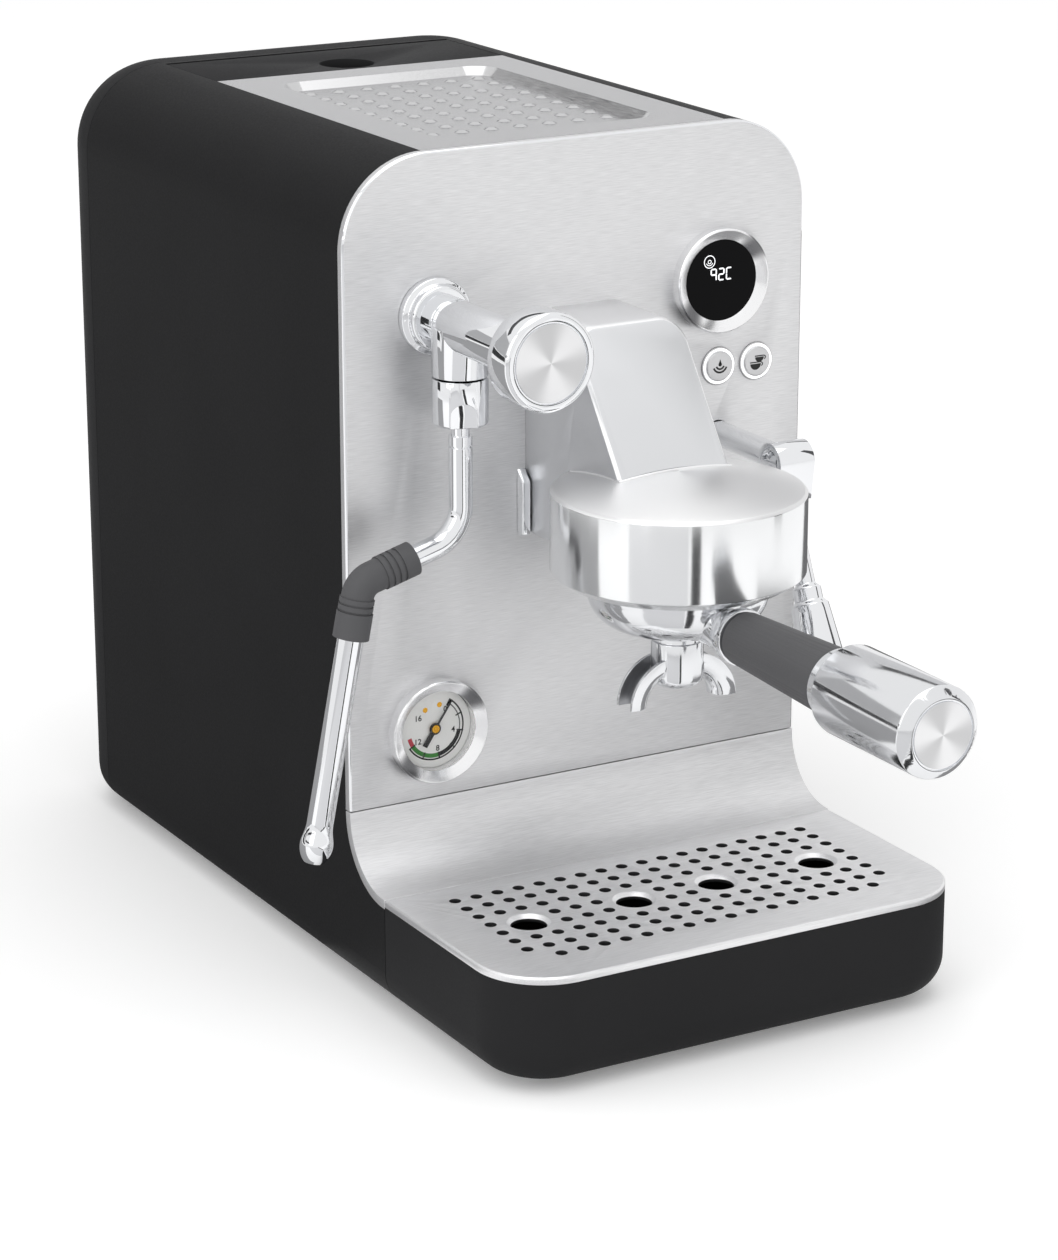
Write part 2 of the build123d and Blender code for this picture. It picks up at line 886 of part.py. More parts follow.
def make_control_board():
    """Circuit board on posts, with the display module and a switch behind each button."""
    board_x = (display_x + button_right_x) / 2
    x_range = (board_x - board_half_width, board_x + board_half_width)
    board = block(x_range, (board_front, board_front + board_thickness), (board_low, board_high))
    module = bezel_window_radius - joint_gap
    board += bore_y(module, display_x, display_z, lens_thickness - lens_sink + joint_gap, board_front)
    for x in (button_left_x, button_right_x):
        switch_front = button_stem_length + button_travel + joint_gap
        board += bore_y(switch_radius, x, button_z, switch_front, board_front)
    for x in (x_range[0] + board_post_inset, x_range[1] - board_post_inset):
        for z in (board_low + board_post_inset, board_high - board_post_inset):
            board += bore_y(board_post_radius, x, z, chassis_back, board_front)
    return board


def make_steam_rosette():
    """Stepped flange on the panel with the stem that leads back to the steam boiler."""
    profile = [
        (0, chassis_back),
        (steam_stem_radius, chassis_back),
        (steam_stem_radius, 0),
        (rosette_radius, 0),
        (rosette_radius, -rosette_base),
        (rosette_lip_radius, -rosette_base - rosette_step),
        (rosette_lip_radius, -rosette_height),
        (0, -rosette_height),
    ]
    rosette = turned_y(profile, steam_x, steam_z)
    rounded = rosette.edges().filter_by(GeomType.CIRCLE).sort_by(Axis.Y)[0]
    return fillet(rounded, (rosette_lip_radius - arm_radius) / 2)


def make_steam_arm():
    """Round valve arm with the downward branch that carries the wand."""
    back = -rosette_height
    arm = bore_y(arm_radius, steam_x, steam_z, back - arm_length, back)
    branch = (steam_x, -branch_forward)
    arm += rod(branch_radius, (*branch, swivel_height), (*branch, steam_z))
    arm -= rod(
        cup_pin_radius + running_gap,
        (*branch, swivel_height - overlap),
        (*branch, swivel_height + cup_pin_length + slide_gap),
    )
    arm -= bore_y(
        spindle_radius + running_gap,
        steam_x,
        steam_z,
        back - arm_length - overlap,
        back - arm_length + spindle_length + slide_gap,
    )
    return arm


def make_steam_knob():
    """Turned drum with a collar behind and a shallow seat for the disc in front."""
    profile = [
        (spindle_radius, knob_back_y),
        (arm_radius + knob_edge, knob_back_y),
        (knob_radius - knob_edge / 2, knob_back_y - knob_edge),
        (knob_radius, knob_back_y - 2 * knob_edge),
        (knob_radius, knob_front_y + knob_edge),
        (knob_radius - knob_edge, knob_front_y),
        (knob_disc_radius + seat_gap, knob_front_y),
        (knob_disc_radius + seat_gap, knob_front_y + knob_disc_depth),
        (0, knob_front_y + knob_disc_depth),
        (0, knob_back_y - spindle_seat),
        (spindle_radius, knob_back_y - spindle_seat),
    ]
    return turned_y(profile, steam_x, steam_z)


def make_steam_knob_disc():
    return bore_y(
        knob_disc_radius, steam_x, steam_z, knob_front_y + seat_gap, knob_front_y + knob_disc_depth
    )


def make_steam_spindle():
    """Valve spindle, fixed in the knob and turning in the arm."""
    end = -rosette_height - arm_length + spindle_length
    return bore_y(spindle_radius, steam_x, steam_z, knob_back_y - spindle_seat, end)


def make_wand_swivel_cup():
    """Cup that turns under the branch, with a milled spanner flat and a bore for the wand's ball."""
    high = swivel_height - swivel_gap
    low = high - cup_height
    profile = [
        (0, high),
        (branch_radius, high),
        (branch_radius, low + cup_edge),
        (branch_radius - cup_edge, low),
        (0, low),
    ]
    cup = turned_z(profile, steam_x, -branch_forward)
    centre = (steam_x, -branch_forward)
    cup += rod(cup_pin_radius, (*centre, high), (*centre, swivel_height + cup_pin_length))
    cup -= rod(cup_bore_radius, (*centre, low - overlap), (*centre, low + cup_bore_depth))
    half = cup_flat_width / 2
    flat_y = (-branch_radius - overlap, cup_flat_depth - branch_radius)
    arch_z = low + cup_flat_height - half
    flat = block((-half, half), flat_y, (low - overlap, arch_z))
    flat += rod(half, (0, flat_y[0], arch_z), (0, flat_y[1], arch_z))
    return cup - Pos(*centre, 0) * Rot(0, 0, -cup_flat_turn) * flat


def wand_ball_z():
    return swivel_height - swivel_gap - cup_height + cup_bore_depth - wand_ball_radius - joint_gap


def wand_plane():
    """Upright plane of the wand: x runs outwards to the left, y runs up."""
    return Plane(origin=(steam_x, -branch_forward, 0), x_dir=(-1, 0, 0), z_dir=(0, 1, 0))


def wand_stations():
    """Points and headings along the wand's centre line, in its own plane."""
    start = Vector(0, wand_ball_z())
    bend_in = start - Vector(0, wand_bend_drop)
    turn = radians(wand_bend_turn)
    bend_out = bend_in + Vector(wand_bend_radius * (1 - cos(turn)), -wand_bend_radius * sin(turn))
    heading = Vector(sin(turn), -cos(turn))
    grip_in = bend_out + heading * wand_link_length
    lean = radians(wand_lower_lean)
    side = Vector(-cos(turn), -sin(turn))
    grip_centre = grip_in + side * wand_grip_bend_radius
    grip_out = grip_centre + Vector(cos(lean), sin(lean)) * wand_grip_bend_radius
    lower = Vector(sin(lean), -cos(lean))
    return start, bend_in, bend_out, heading, grip_in, grip_centre, grip_out, lower


def bend(start, centre, end):
    """Arc about a centre between two points on it."""
    middle = (start + end) / 2 - centre
    radius = (start - centre).length
    return ThreePointArc(start, centre + middle.normalized() * radius, end)


def wand_sweep(path, radius):
    """Round bar along a path in the wand's plane."""
    placed = wand_plane() * path
    begin = Plane(origin=placed @ 0, z_dir=placed % 0)
    return sweep(begin * Circle(radius), path=placed)


def make_wand_tube():
    """Bent steel tube from the ball in the cup to the joint inside the grip."""
    start, bend_in, bend_out, heading, grip_in, grip_centre, grip_out, lower = wand_stations()
    first_centre = bend_in + Vector(wand_bend_radius, 0)
    neck_end = start - Vector(0, wand_neck_length)
    path = Wire([
        Line(neck_end, bend_in),
        bend(bend_in, first_centre, bend_out),
        Line(bend_out, grip_in),
        bend(grip_in, grip_centre, grip_out),
    ])
    tube = wand_sweep(path, wand_tube_radius)
    centre = (steam_x, -branch_forward)
    groove_top = wand_ball_z() - wand_groove_drop
    groove = [
        (wand_tube_radius - wand_groove_depth, groove_top),
        (wand_tube_radius - wand_groove_depth, groove_top - wand_groove_width),
        (wand_tube_radius + overlap, groove_top - wand_groove_width),
        (wand_tube_radius + overlap, groove_top),
    ]
    tube -= turned_z(groove, *centre)
    tube += rod(wand_neck_radius, (*centre, start.Y - wand_neck_length), (*centre, start.Y))
    return tube + Pos(*centre, start.Y) * Sphere(wand_ball_radius)


def wand_axis_points(*distances):
    """Points on the wand's straight lower run, measured from the end of the grip's bend."""
    start, bend_in, bend_out, heading, grip_in, grip_centre, grip_out, lower = wand_stations()
    plane = wand_plane()
    return [plane.from_local_coords(grip_out + lower * distance) for distance in distances]


def make_wand_grip():
    """Rubber grip over the second bend, with raised rings and a cuff on each side of it."""
    start, bend_in, bend_out, heading, grip_in, grip_centre, grip_out, lower = wand_stations()
    cuff_in = grip_in - heading * wand_grip_lead
    turn = bend(grip_in, grip_centre, grip_out)
    grip = wand_sweep(Wire([Line(cuff_in, grip_in), turn]), wand_grip_radius)
    grip += rod(wand_grip_radius, *wand_axis_points(0, wand_lower_grip))
    plane = wand_plane()

    def upper_ring(radius, begin, end):
        near, far = (plane.from_local_coords(cuff_in + heading * distance) for distance in (begin, end))
        return rod(radius, near, far)

    grip += upper_ring(wand_rib_radius, 0, wand_upper_cuff_length)
    rib_step = wand_rib_pitch - wand_rib_width
    for index in range(wand_rib_count):
        begin = wand_upper_cuff_length + rib_step + index * wand_rib_pitch
        grip += upper_ring(wand_rib_radius, begin, begin + wand_rib_width)
    cuff_begin = wand_lower_grip - wand_cuff_length
    grip += rod(wand_cuff_radius, *wand_axis_points(cuff_begin, wand_lower_grip))
    for index in range(wand_lower_rib_count):
        end = cuff_begin - rib_step - index * wand_rib_pitch
        grip += rod(wand_rib_radius, *wand_axis_points(end - wand_rib_width, end))
    bore = wand_tube_radius + seat_gap
    grip -= wand_sweep(Wire([Line(cuff_in - heading * overlap, grip_in), turn]), bore)
    return grip - rod(wand_sleeve_radius + seat_gap, *wand_axis_points(0, wand_lower_grip + overlap))


def make_wand_sleeve():
    """Straight outer sleeve of the wand."""
    near, far = wand_axis_points(seat_gap, wand_sleeve_length + wand_lower_grip)
    return rod(wand_sleeve_radius, near, far)


def make_wand_nozzle():
    """Bulb-shaped steam tip."""
    begin = wand_sleeve_length + wand_lower_grip
    near, far = wand_axis_points(begin, begin + nozzle_length)
    plane = Plane(origin=near, z_dir=far - near)
    outline = Curve() + [
        Polyline((0, nozzle_length), (0, 0), (wand_sleeve_radius, 0)),
        Spline(
            (wand_sleeve_radius, 0),
            (nozzle_radius, nozzle_bulge),
            (nozzle_tip_radius, nozzle_length),
            tangents=[(0, 1), (-1, 1)],
        ),
        Line((nozzle_tip_radius, nozzle_length), (0, nozzle_length)),
    ]
    return plane * revolve(Plane.XZ * make_face(outline), axis=Axis.Z)


def solid_drum(gap):
    """Drum with its shallow dome, before the socket is cut, grown by a gap."""
    top = drum_high + gap
    crown = top + dome_rise
    wall = drum_radius + gap
    edge = wall - drum_top_bevel
    sphere_radius = (edge ** 2 + dome_rise ** 2) / (2 * dome_rise)
    mid_x = edge / 2
    mid_z = crown - sphere_radius + (sphere_radius ** 2 - mid_x ** 2) ** 0.5
    outline = Curve() + [
        Polyline(
            (0, crown),
            (0, rim_low - gap),
            (rim_radius + gap, rim_low - gap),
            (wall, drum_low),
            (wall, top - drum_top_bevel),
            (edge, top),
        ),
        ThreePointArc((edge, top), (mid_x, mid_z), (0, crown)),
    ]
    return Pos(0, group_y, 0) * revolve(Plane.XZ * make_face(outline), axis=Axis.Z)


def make_group_head():
    """Domed drum with a bayonet socket: a ledge with two entries, a groove and a seat above."""
    drum = solid_drum(0)
    axis = (0, group_y)
    drum -= rod(socket_radius, (*axis, rim_low - overlap), (*axis, socket_ceiling))
    drum -= rod(groove_radius, (*axis, groove_low), (*axis, groove_high))
    for ear in bayonet_ears(rim_low - overlap, groove_low + overlap, joint_gap):
        drum -= Pos(*axis, 0) * Rot(0, 0, -unlock_angle) * ear
    return drum


def bayonet_ears(low, high, gap):
    """Two sectors of a ring on opposite sides of the group's axis."""
    ring = rod(ear_radius + gap, (0, 0, low), (0, 0, high))
    reach = ear_radius + overlap
    span = ear_radius * sin(radians(ear_span / 2)) + gap
    return [ring & block(sorted((0, sign * reach)), (-span, span), (low, high)) for sign in (-1, 1)]


def make_group_gasket():
    inner = socket_radius - seat_gap - gasket_width
    profile = [
        (inner, gasket_low),
        (socket_radius - seat_gap, gasket_low),
        (socket_radius - seat_gap, socket_ceiling),
        (inner, socket_ceiling),
    ]
    return turned_z(profile, 0, group_y)


def make_shower_screen():
    """Dished water screen under the group's ceiling."""
    radius = socket_radius - 2 * seat_gap - gasket_width
    edge = screen_thickness / 2
    profile = [
        (0, socket_ceiling),
        (radius, socket_ceiling),
        (radius, socket_ceiling - edge),
        (radius - edge, socket_ceiling - screen_thickness),
        (0, socket_ceiling - screen_thickness),
    ]
    return turned_z(profile, 0, group_y)


def make_group_neck():
    """Sloping neck from the panel to the drum, cut to sit on the drum, with its inlet stem."""
    outline = Polyline(
        (0, neck_bottom),
        (0, neck_top),
        (-neck_flat, neck_top),
        (neck_front_y, neck_front_z),
        (neck_front_y, neck_bottom),
        close=True,
    )
    neck = side_prism(outline, neck_width / 2)
    top = neck.faces().filter_by(Axis.Z).sort_by(Axis.Z)[-1]
    sides = top.edges().filter_by(Axis.Y)
    neck = fillet(sides, neck_round)
    flats = neck.faces().filter_by(GeomType.PLANE)
    slope = flats.filter_by(lambda face: face.normal_at().Y < 0 < face.normal_at().Z)
    frame = slope[0].edges().sort_by(Axis.Z)[1:]
    neck = chamfer(frame, neck_bevel)
    neck -= solid_drum(seat_gap)
    return neck + bore_y(group_stem_radius, 0, group_stem_z, 0, chassis_back)


def make_neck_rails():
    """Two chrome rails where the neck meets the panel, cut aslant at the top."""
    rails = []
    outline = Polyline(
        (0, rail_low),
        (-rail_depth, rail_low),
        (-rail_depth, rail_high - rail_depth),
        (0, rail_high),
        close=True,
    )
    for sign in (-1, 1):
        rail = side_prism(outline, rail_width / 2)
        rails.append(Pos(sign * (neck_width / 2 + rail_width / 2 + seat_gap), 0, 0) * rail)
    return Compound(children=rails)


def make_portafilter_body():
    """Filter holder: ring with two bayonet ears, a bowl below it and a boss for the handle."""
    under = rim_low - joint_gap
    outside = [
        (0, ring_top),
        (filter_ring_radius, ring_top),
        (filter_ring_radius, under),
        (bowl_radius, under),
        (bowl_radius, under - bowl_lip_height),
        (bowl_radius - bowl_lip_step, under - bowl_lip_height),
        (bowl_radius - bowl_lip_step, bowl_low),
        (0, bowl_low),
    ]
    body = turned_z(outside, 0, group_y)
    body = fillet(body.edges().filter_by(GeomType.CIRCLE).sort_by(Axis.Z)[0], bowl_round)
    axis = (0, group_y)
    boss_back = group_y - spout_collar_radius - bowl_wall
    body += bore_y(handle_boss_radius, 0, handle_z, group_y - handle_root_reach, boss_back)
    inner_radius = basket_radius + joint_gap
    floor = bowl_low + bowl_wall
    room = [
        (0, ring_top + overlap),
        (inner_radius, ring_top + overlap),
        (inner_radius, ring_top - basket_depth),
        (spout_collar_radius - bowl_wall, floor),
        (spout_collar_radius - bowl_wall, bowl_low - overlap),
        (0, bowl_low - overlap),
    ]
    body -= turned_z(room, 0, group_y)
    ear_low = groove_low + joint_gap
    body += [
        Pos(*axis, 0) * (ear - rod(inner_radius + bowl_wall, (0, 0, 0), (0, 0, casing_height)))
        for ear in bayonet_ears(ear_low, ear_low + ear_height, 0)
    ]
    return body


def make_filter_basket():
    """Pressed steel cup with a flange that hangs in the holder's rim."""
    low = basket_top - basket_depth + overlap
    outer = filter_ring_radius - basket_wall
    profile = [
        (0, low),
        (basket_radius - basket_wall, low),
        (basket_radius, low + basket_wall),
        (basket_radius, ring_top),
        (outer, ring_top),
        (outer, basket_top),
        (basket_radius - basket_wall, basket_top),
        (basket_radius - basket_wall, low + basket_wall),
        (0, low + basket_wall),
    ]
    return turned_z(profile, 0, group_y)


def make_double_spout():
    """Spout body under the bowl with two open channels that curve out and down."""
    low = spout_top - spout_length
    profile = [
        (0, bowl_low),
        (spout_collar_radius, bowl_low),
        (spout_collar_radius, spout_top),
        (spout_radius, spout_top),
        (spout_radius, low),
        (0, low),
    ]
    spout = turned_z(profile, 0, group_y)
    spout = fillet(spout.edges().filter_by(GeomType.CIRCLE).sort_by(Axis.Z)[0], spout_round)
    arm = spout_arm()
    return spout + arm + mirror(arm, about=Plane.YZ)


def spout_arm():
    """Quarter-round channel with a round bottom, open on its outer side."""
    pivot = Axis((spout_arm_centre_x, group_y, spout_tip_z), (0, 1, 0))

    def quarter(inner, outer, half):
        flat = inner + half
        section = Curve() + [
            Polyline((flat, -half), (outer, -half), (outer, half), (flat, half)),
            ThreePointArc((flat, half), (inner, 0), (flat, -half)),
        ]
        face = Pos(spout_arm_centre_x, group_y, spout_tip_z) * make_face(section)
        return revolve(face, axis=pivot, revolution_arc=-90)

    arm = quarter(spout_arm_inner, spout_arm_outer, spout_arm_width / 2)
    return arm - quarter(
        spout_arm_inner + spout_arm_wall,
        spout_arm_outer + overlap,
        spout_arm_width / 2 - spout_arm_wall,
    )


def make_handle_ferrule():
    """Turned root of the handle with a flange behind the grip."""
    root = group_y - handle_root_reach
    flange = root - ferrule_length
    profile = [
        (0, root),
        (ferrule_radius, root),
        (ferrule_radius, flange),
        (ferrule_flange_radius, flange),
        (ferrule_flange_radius, grip_rear_y),
        (0, grip_rear_y),
    ]
    return turned_y(profile, 0, handle_z)


def make_handle_grip():
    """Soft grip that swells towards its front end."""
    profile = [
        (0, grip_rear_y),
        (grip_back_radius - grip_edge, grip_rear_y),
        (grip_back_radius, grip_rear_y - grip_edge),
        (grip_front_radius, grip_fore_y),
        (0, grip_fore_y),
    ]
    return turned_y(profile, 0, handle_z)


def make_handle_cap():
    """Chrome weight at the handle's end: a band, a stepped drum and a bevelled face with a seat."""
    profile = [
        (0, grip_fore_y),
        (band_radius, grip_fore_y),
        (band_radius, cap_rear_y),
        (cap_radius - cap_shoulder, cap_rear_y),
        (cap_radius, cap_rear_y - cap_shoulder),
        (cap_radius, cap_front_y + cap_bevel),
        (disc_radius + seat_gap, cap_front_y),
        (disc_radius + seat_gap, cap_front_y + disc_depth),
        (0, cap_front_y + disc_depth),
    ]
    return turned_y(profile, 0, handle_z)


def make_handle_disc():
    return bore_y(disc_radius, 0, handle_z, cap_front_y + seat_gap, cap_front_y + disc_depth)


def make_hot_water_arm():
    """Stem from the panel with a hooded band that rolls over and tapers down in front."""
    arm = bore_y(hot_stem_radius, hot_x, hot_z, -hot_reach, chassis_back)
    outer = hot_hood_radius
    inner = hot_hood_radius - hot_band
    low = hot_z - hot_skirt_drop
    front = -hot_reach - outer
    outline = Curve() + [
        Line((-hot_reach + outer, hot_z), (-hot_reach + inner, hot_z)),
        ThreePointArc((-hot_reach + inner, hot_z), (-hot_reach, hot_z + inner), (-hot_reach - inner, hot_z)),
        Polyline(
            (-hot_reach - inner, hot_z),
            (front + hot_band, low),
            (front, low),
            (front, hot_z),
        ),
        ThreePointArc((front, hot_z), (-hot_reach, hot_z + outer), (-hot_reach + outer, hot_z)),
    ]
    hood = side_prism(outline, hot_width / 2)
    half = hot_width / 2
    tip = hot_skirt_tip_width / 2
    taper = Polyline(
        (-half, hot_z + 2 * outer), (half, hot_z + 2 * outer), (half, hot_z), (tip, low), (-tip, low),
        (-half, hot_z), close=True,
    )
    hood &= extrude(Plane.XZ * make_face(taper), amount=2 * hot_reach, both=True)
    root, outlet, direction = hot_outlet()
    return arm + Pos(hot_x, 0, 0) * hood + rod(hot_boss_radius, root, outlet)


def hot_outlet():
    """Boss under the stem: its root, its end face's centre and the way it points."""
    lean = radians(hot_nozzle_lean)
    direction = Vector(0, -sin(lean), -cos(lean))
    root = Vector(hot_x, hot_setback - hot_reach, hot_z)
    return root, root + direction * hot_boss_length, direction


def make_hot_water_nozzle():
    """Stepped cone that widens towards its outlet and leans forward under the hood."""
    root, outlet, direction = hot_outlet()
    axis = Plane(origin=outlet, z_dir=direction)
    length = hot_nozzle_length
    top = hot_nozzle_top_radius
    tip = hot_nozzle_tip_radius
    third = (tip - top) / 3
    profile = [
        (hot_nozzle_bore, 0),
        (top, 0),
        (top, hot_first_step),
        (top + third, hot_first_step + third),
        (top + third, hot_second_step),
        (top + 2 * third, hot_second_step + third),
        (tip, length),
        (hot_nozzle_bore, length),
    ]
    return axis * revolve(make_face(Plane.XZ * Polyline(*profile, close=True)), axis=Axis.Z)


def finned_block(x_range, y_range, z_range):
    """Cast heating block with cooling slots across its back."""
    solid = block(x_range, y_range, z_range)
    pitch = (z_range[1] - z_range[0]) / (fin_count + 1)
    for index in range(fin_count):
        z = z_range[0] + pitch * (index + 1)
        solid -= block(
            (x_range[0] - overlap, x_range[1] + overlap),
            (y_range[1] - fin_depth, y_range[1] + overlap),
            (z - pitch / 4, z + pitch / 4),
        )
    return solid


def make_brew_boiler():
    half = brew_block_width / 2
    back = chassis_back + brew_block_depth
    return finned_block((-half, half), (chassis_back, back), (brew_block_low, brew_block_high))


def make_steam_boiler():
    right = -brew_block_width / 2 - joint_gap
    x_range = (right - steam_block_width, right)
    back = chassis_back + steam_block_depth
    return finned_block(x_range, (chassis_back, back), (steam_block_low, steam_block_high))


def make_solenoid_valve():
    """Valve coil on the brew boiler's back, with its collar."""
    back = chassis_back + brew_block_depth
    valve = bore_y(solenoid_radius, 0, solenoid_z, back, back + solenoid_length)
    return valve + bore_y(solenoid_radius / 2, 0, solenoid_z, back, back + solenoid_tail_length)


def make_vibration_pump():
    """Pump lying across the machine: a square coil on a round barrel, with a port at each end."""
    half = pump_coil_size / 2
    coil_half = pump_coil_length / 2
    pump = block((-coil_half, coil_half), (pump_y - half, pump_y + half), (pump_z - half, pump_z + half))
    tail = coil_half + pump_tail_length
    pump += rod(pump_radius, (-tail, pump_y, pump_z), (tail, pump_y, pump_z))
    end = tail + pump_port_length
    return pump + rod(pump_port_radius, (-end, pump_y, pump_z), (end, pump_y, pump_z))


def make_pump_bracket():
    """Cradle that stands on the base pan under the pump's coil."""
    half = bracket_width / 2
    coil_half = pump_coil_size / 2
    low = pump_z - coil_half
    reach = coil_half + bracket_thickness
    shelf = block((-half, half), (pump_y - reach, pump_y + reach), (low - bracket_thickness, low))
    for sign in (-1, 1):
        inner = pump_y + sign * coil_half
        outer = pump_y + sign * reach
        shelf += block((-half, half), sorted((inner, outer)), (pan_top, pump_z))
    return shelf


def make_flow_meter():
    """Round turbine housing on the base pan, with its two ports on top."""
    centre = (flow_x, flow_y)
    top = pan_top + flow_height
    return rod(flow_radius, (*centre, pan_top), (*centre, top))


def hose(points):
    """Silicone hose along straight runs joined by arcs."""
    path = FilletPolyline(*points, radius=hose_bend)
    begin = Plane(origin=path @ 0, z_dir=path % 0)
    return sweep(begin * (Circle(hose_radius) - Circle(hose_bore)), path=path)


def make_water_hoses():
    """Hoses from the tank seat to the flow meter, on to the pump and up to the brew boiler."""
    flow_top = pan_top + flow_height
    port_x = pump_coil_length / 2 + pump_tail_length + pump_port_length
    lift = 2 * hose_bend
    half_flow = flow_radius / 2
    intake = hose([
        (valve_seat_radius, tank_mid_y, pan_top + flow_height / 2),
        (flow_x, tank_mid_y, pan_top + flow_height / 2),
        (flow_x, flow_y + flow_radius, pan_top + flow_height / 2),
    ])
    feed = hose([
        (flow_x, flow_y - half_flow, flow_top),
        (flow_x, flow_y - half_flow, flow_top + lift),
        (port_x + lift, pump_y + lift, flow_top + lift),
        (port_x + lift, pump_y, pump_z),
        (port_x, pump_y, pump_z),
    ])
    riser_y = chassis_back + brew_block_depth / 2
    delivery = hose([
        (-port_x, pump_y, pump_z),
        (-port_x - lift, pump_y, pump_z),
        (-port_x - lift, pump_y, pump_z + hose_rise),
        (0, riser_y, pump_z + hose_rise),
        (0, riser_y, brew_block_low),
    ])
    return Compound(children=[intake, feed, delivery])


def make_mains_inlet():
    """Bush in the rear cover where the mains lead enters."""
    profile = [
        (inlet_bore_radius, back_y - inlet_bush_length),
        (inlet_bush_radius, back_y - inlet_bush_length),
        (inlet_bush_radius, back_y),
        (inlet_flange_radius, back_y),
        (inlet_flange_radius - inlet_edge, back_y + inlet_flange_height),
        (inlet_bore_radius, back_y + inlet_flange_height),
    ]
    return turned_y(profile, inlet_x, inlet_z)


pieces = {
    "body_shell": make_body_shell(),
    "rear_cover": make_rear_cover(),
    "cover_screws": make_cover_screws(),
    "base_pan": make_base_pan(),
    "rubber_feet": make_rubber_feet(),
    "chassis_plate": make_chassis_plate(),
    "front_panel": make_front_panel(),
    "apron_panel": make_apron_panel(),
    "top_plate": make_top_plate(),
    "tank_lid": make_tank_lid(),
    "water_tank": make_water_tank(),
    "tank_valve_seat": make_tank_valve_seat(),
    "drip_tray": make_drip_tray(),
    "drip_grate": make_drip_grate(),
    "display_bezel": make_bezel(display_x, display_z),
    "display_lens": make_lens(display_x, display_z),
    "gauge_bezel": make_bezel(gauge_x, gauge_z),
    "gauge_lens": make_lens(gauge_x, gauge_z),
    "gauge_can": make_gauge_can(),
    "gauge_dial": make_gauge_dial(),
    "gauge_needle": make_gauge_needle(),
    "button_light_rings": make_button_light_rings(),
    "rinse_button": make_button(button_left_x),
    "cups_button": make_button(button_right_x),
    "control_board": make_control_board(),
    "steam_rosette": make_steam_rosette(),
    "steam_arm": make_steam_arm(),
    "steam_knob": make_steam_knob(),
    "steam_knob_disc": make_steam_knob_disc(),
    "steam_spindle": make_steam_spindle(),
    "wand_swivel_cup": make_wand_swivel_cup(),
    "wand_tube": make_wand_tube(),
    "wand_grip": make_wand_grip(),
    "wand_sleeve": make_wand_sleeve(),
    "wand_nozzle": make_wand_nozzle(),
    "group_neck": make_group_neck(),
    "neck_rails": make_neck_rails(),
    "group_head": make_group_head(),
    "group_gasket": make_group_gasket(),
    "shower_screen": make_shower_screen(),
    "portafilter_body": make_portafilter_body(),
    "filter_basket": make_filter_basket(),
    "double_spout": make_double_spout(),
    "handle_ferrule": make_handle_ferrule(),
    "handle_grip": make_handle_grip(),
    "handle_cap": make_handle_cap(),
    "handle_disc": make_handle_disc(),
    "hot_water_arm": make_hot_water_arm(),
    "hot_water_nozzle": make_hot_water_nozzle(),
    "brew_boiler": make_brew_boiler(),
    "steam_boiler": make_steam_boiler(),
    "solenoid_valve": make_solenoid_valve(),
    "vibration_pump": make_vibration_pump(),
    "pump_bracket": make_pump_bracket(),
    "flow_meter": make_flow_meter(),
    "water_hoses": make_water_hoses(),
    "mains_inlet": make_mains_inlet(),
}

os.makedirs("parts", exist_ok=True)
for name, piece in pieces.items():
    export_step(piece, f"parts/{name}.step")
    print(name, round(piece.volume))
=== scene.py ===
import json
import math

import bmesh
import bpy
from mathutils import Matrix, Vector
from mathutils.bvhtree import BVHTree


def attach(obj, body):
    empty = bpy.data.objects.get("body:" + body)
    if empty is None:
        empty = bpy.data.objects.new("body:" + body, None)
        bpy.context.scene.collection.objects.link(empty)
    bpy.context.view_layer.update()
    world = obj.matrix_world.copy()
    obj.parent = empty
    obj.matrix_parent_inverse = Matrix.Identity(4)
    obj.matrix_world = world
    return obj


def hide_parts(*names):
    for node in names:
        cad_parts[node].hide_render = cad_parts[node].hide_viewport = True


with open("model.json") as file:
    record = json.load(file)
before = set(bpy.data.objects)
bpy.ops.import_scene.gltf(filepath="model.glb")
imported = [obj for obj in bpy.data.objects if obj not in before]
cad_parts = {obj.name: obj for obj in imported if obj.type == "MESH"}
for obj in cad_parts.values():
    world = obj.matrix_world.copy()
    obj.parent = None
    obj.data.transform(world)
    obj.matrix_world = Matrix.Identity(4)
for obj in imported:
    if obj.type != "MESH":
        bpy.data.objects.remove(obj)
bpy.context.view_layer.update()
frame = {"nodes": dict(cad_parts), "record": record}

# %% [markdown]
# # A compact espresso machine, dressed for a studio picture
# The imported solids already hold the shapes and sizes, in metres, with +Z up and the front facing -Y.
# This lesson gives every surface its finish, softens the machined edges,
# and adds the printed and lit details. It starts with small helpers that everything else uses.

# %% Colours and nodes
mm = 0.001


def linear(hex_colour):
    """Linear RGBA from an sRGB hex colour."""
    channels = [int(hex_colour[start:start + 2], 16) / 255 for start in (1, 3, 5)]
    return tuple(c / 12.92 if c <= 0.04045 else ((c + 0.055) / 1.055) ** 2.4 for c in channels) + (1.0,)


def add(material, kind, sockets=None, **settings):
    """Add a node, set its properties, and fill its sockets with values or with other nodes' outputs."""
    tree = material.node_tree
    made = tree.nodes.new(kind)
    for name, value in settings.items():
        setattr(made, name, value)
    for name, value in (sockets or {}).items():
        if isinstance(value, bpy.types.NodeSocket):
            tree.links.new(value, made.inputs[name])
        else:
            made.inputs[name].default_value = value
    return made


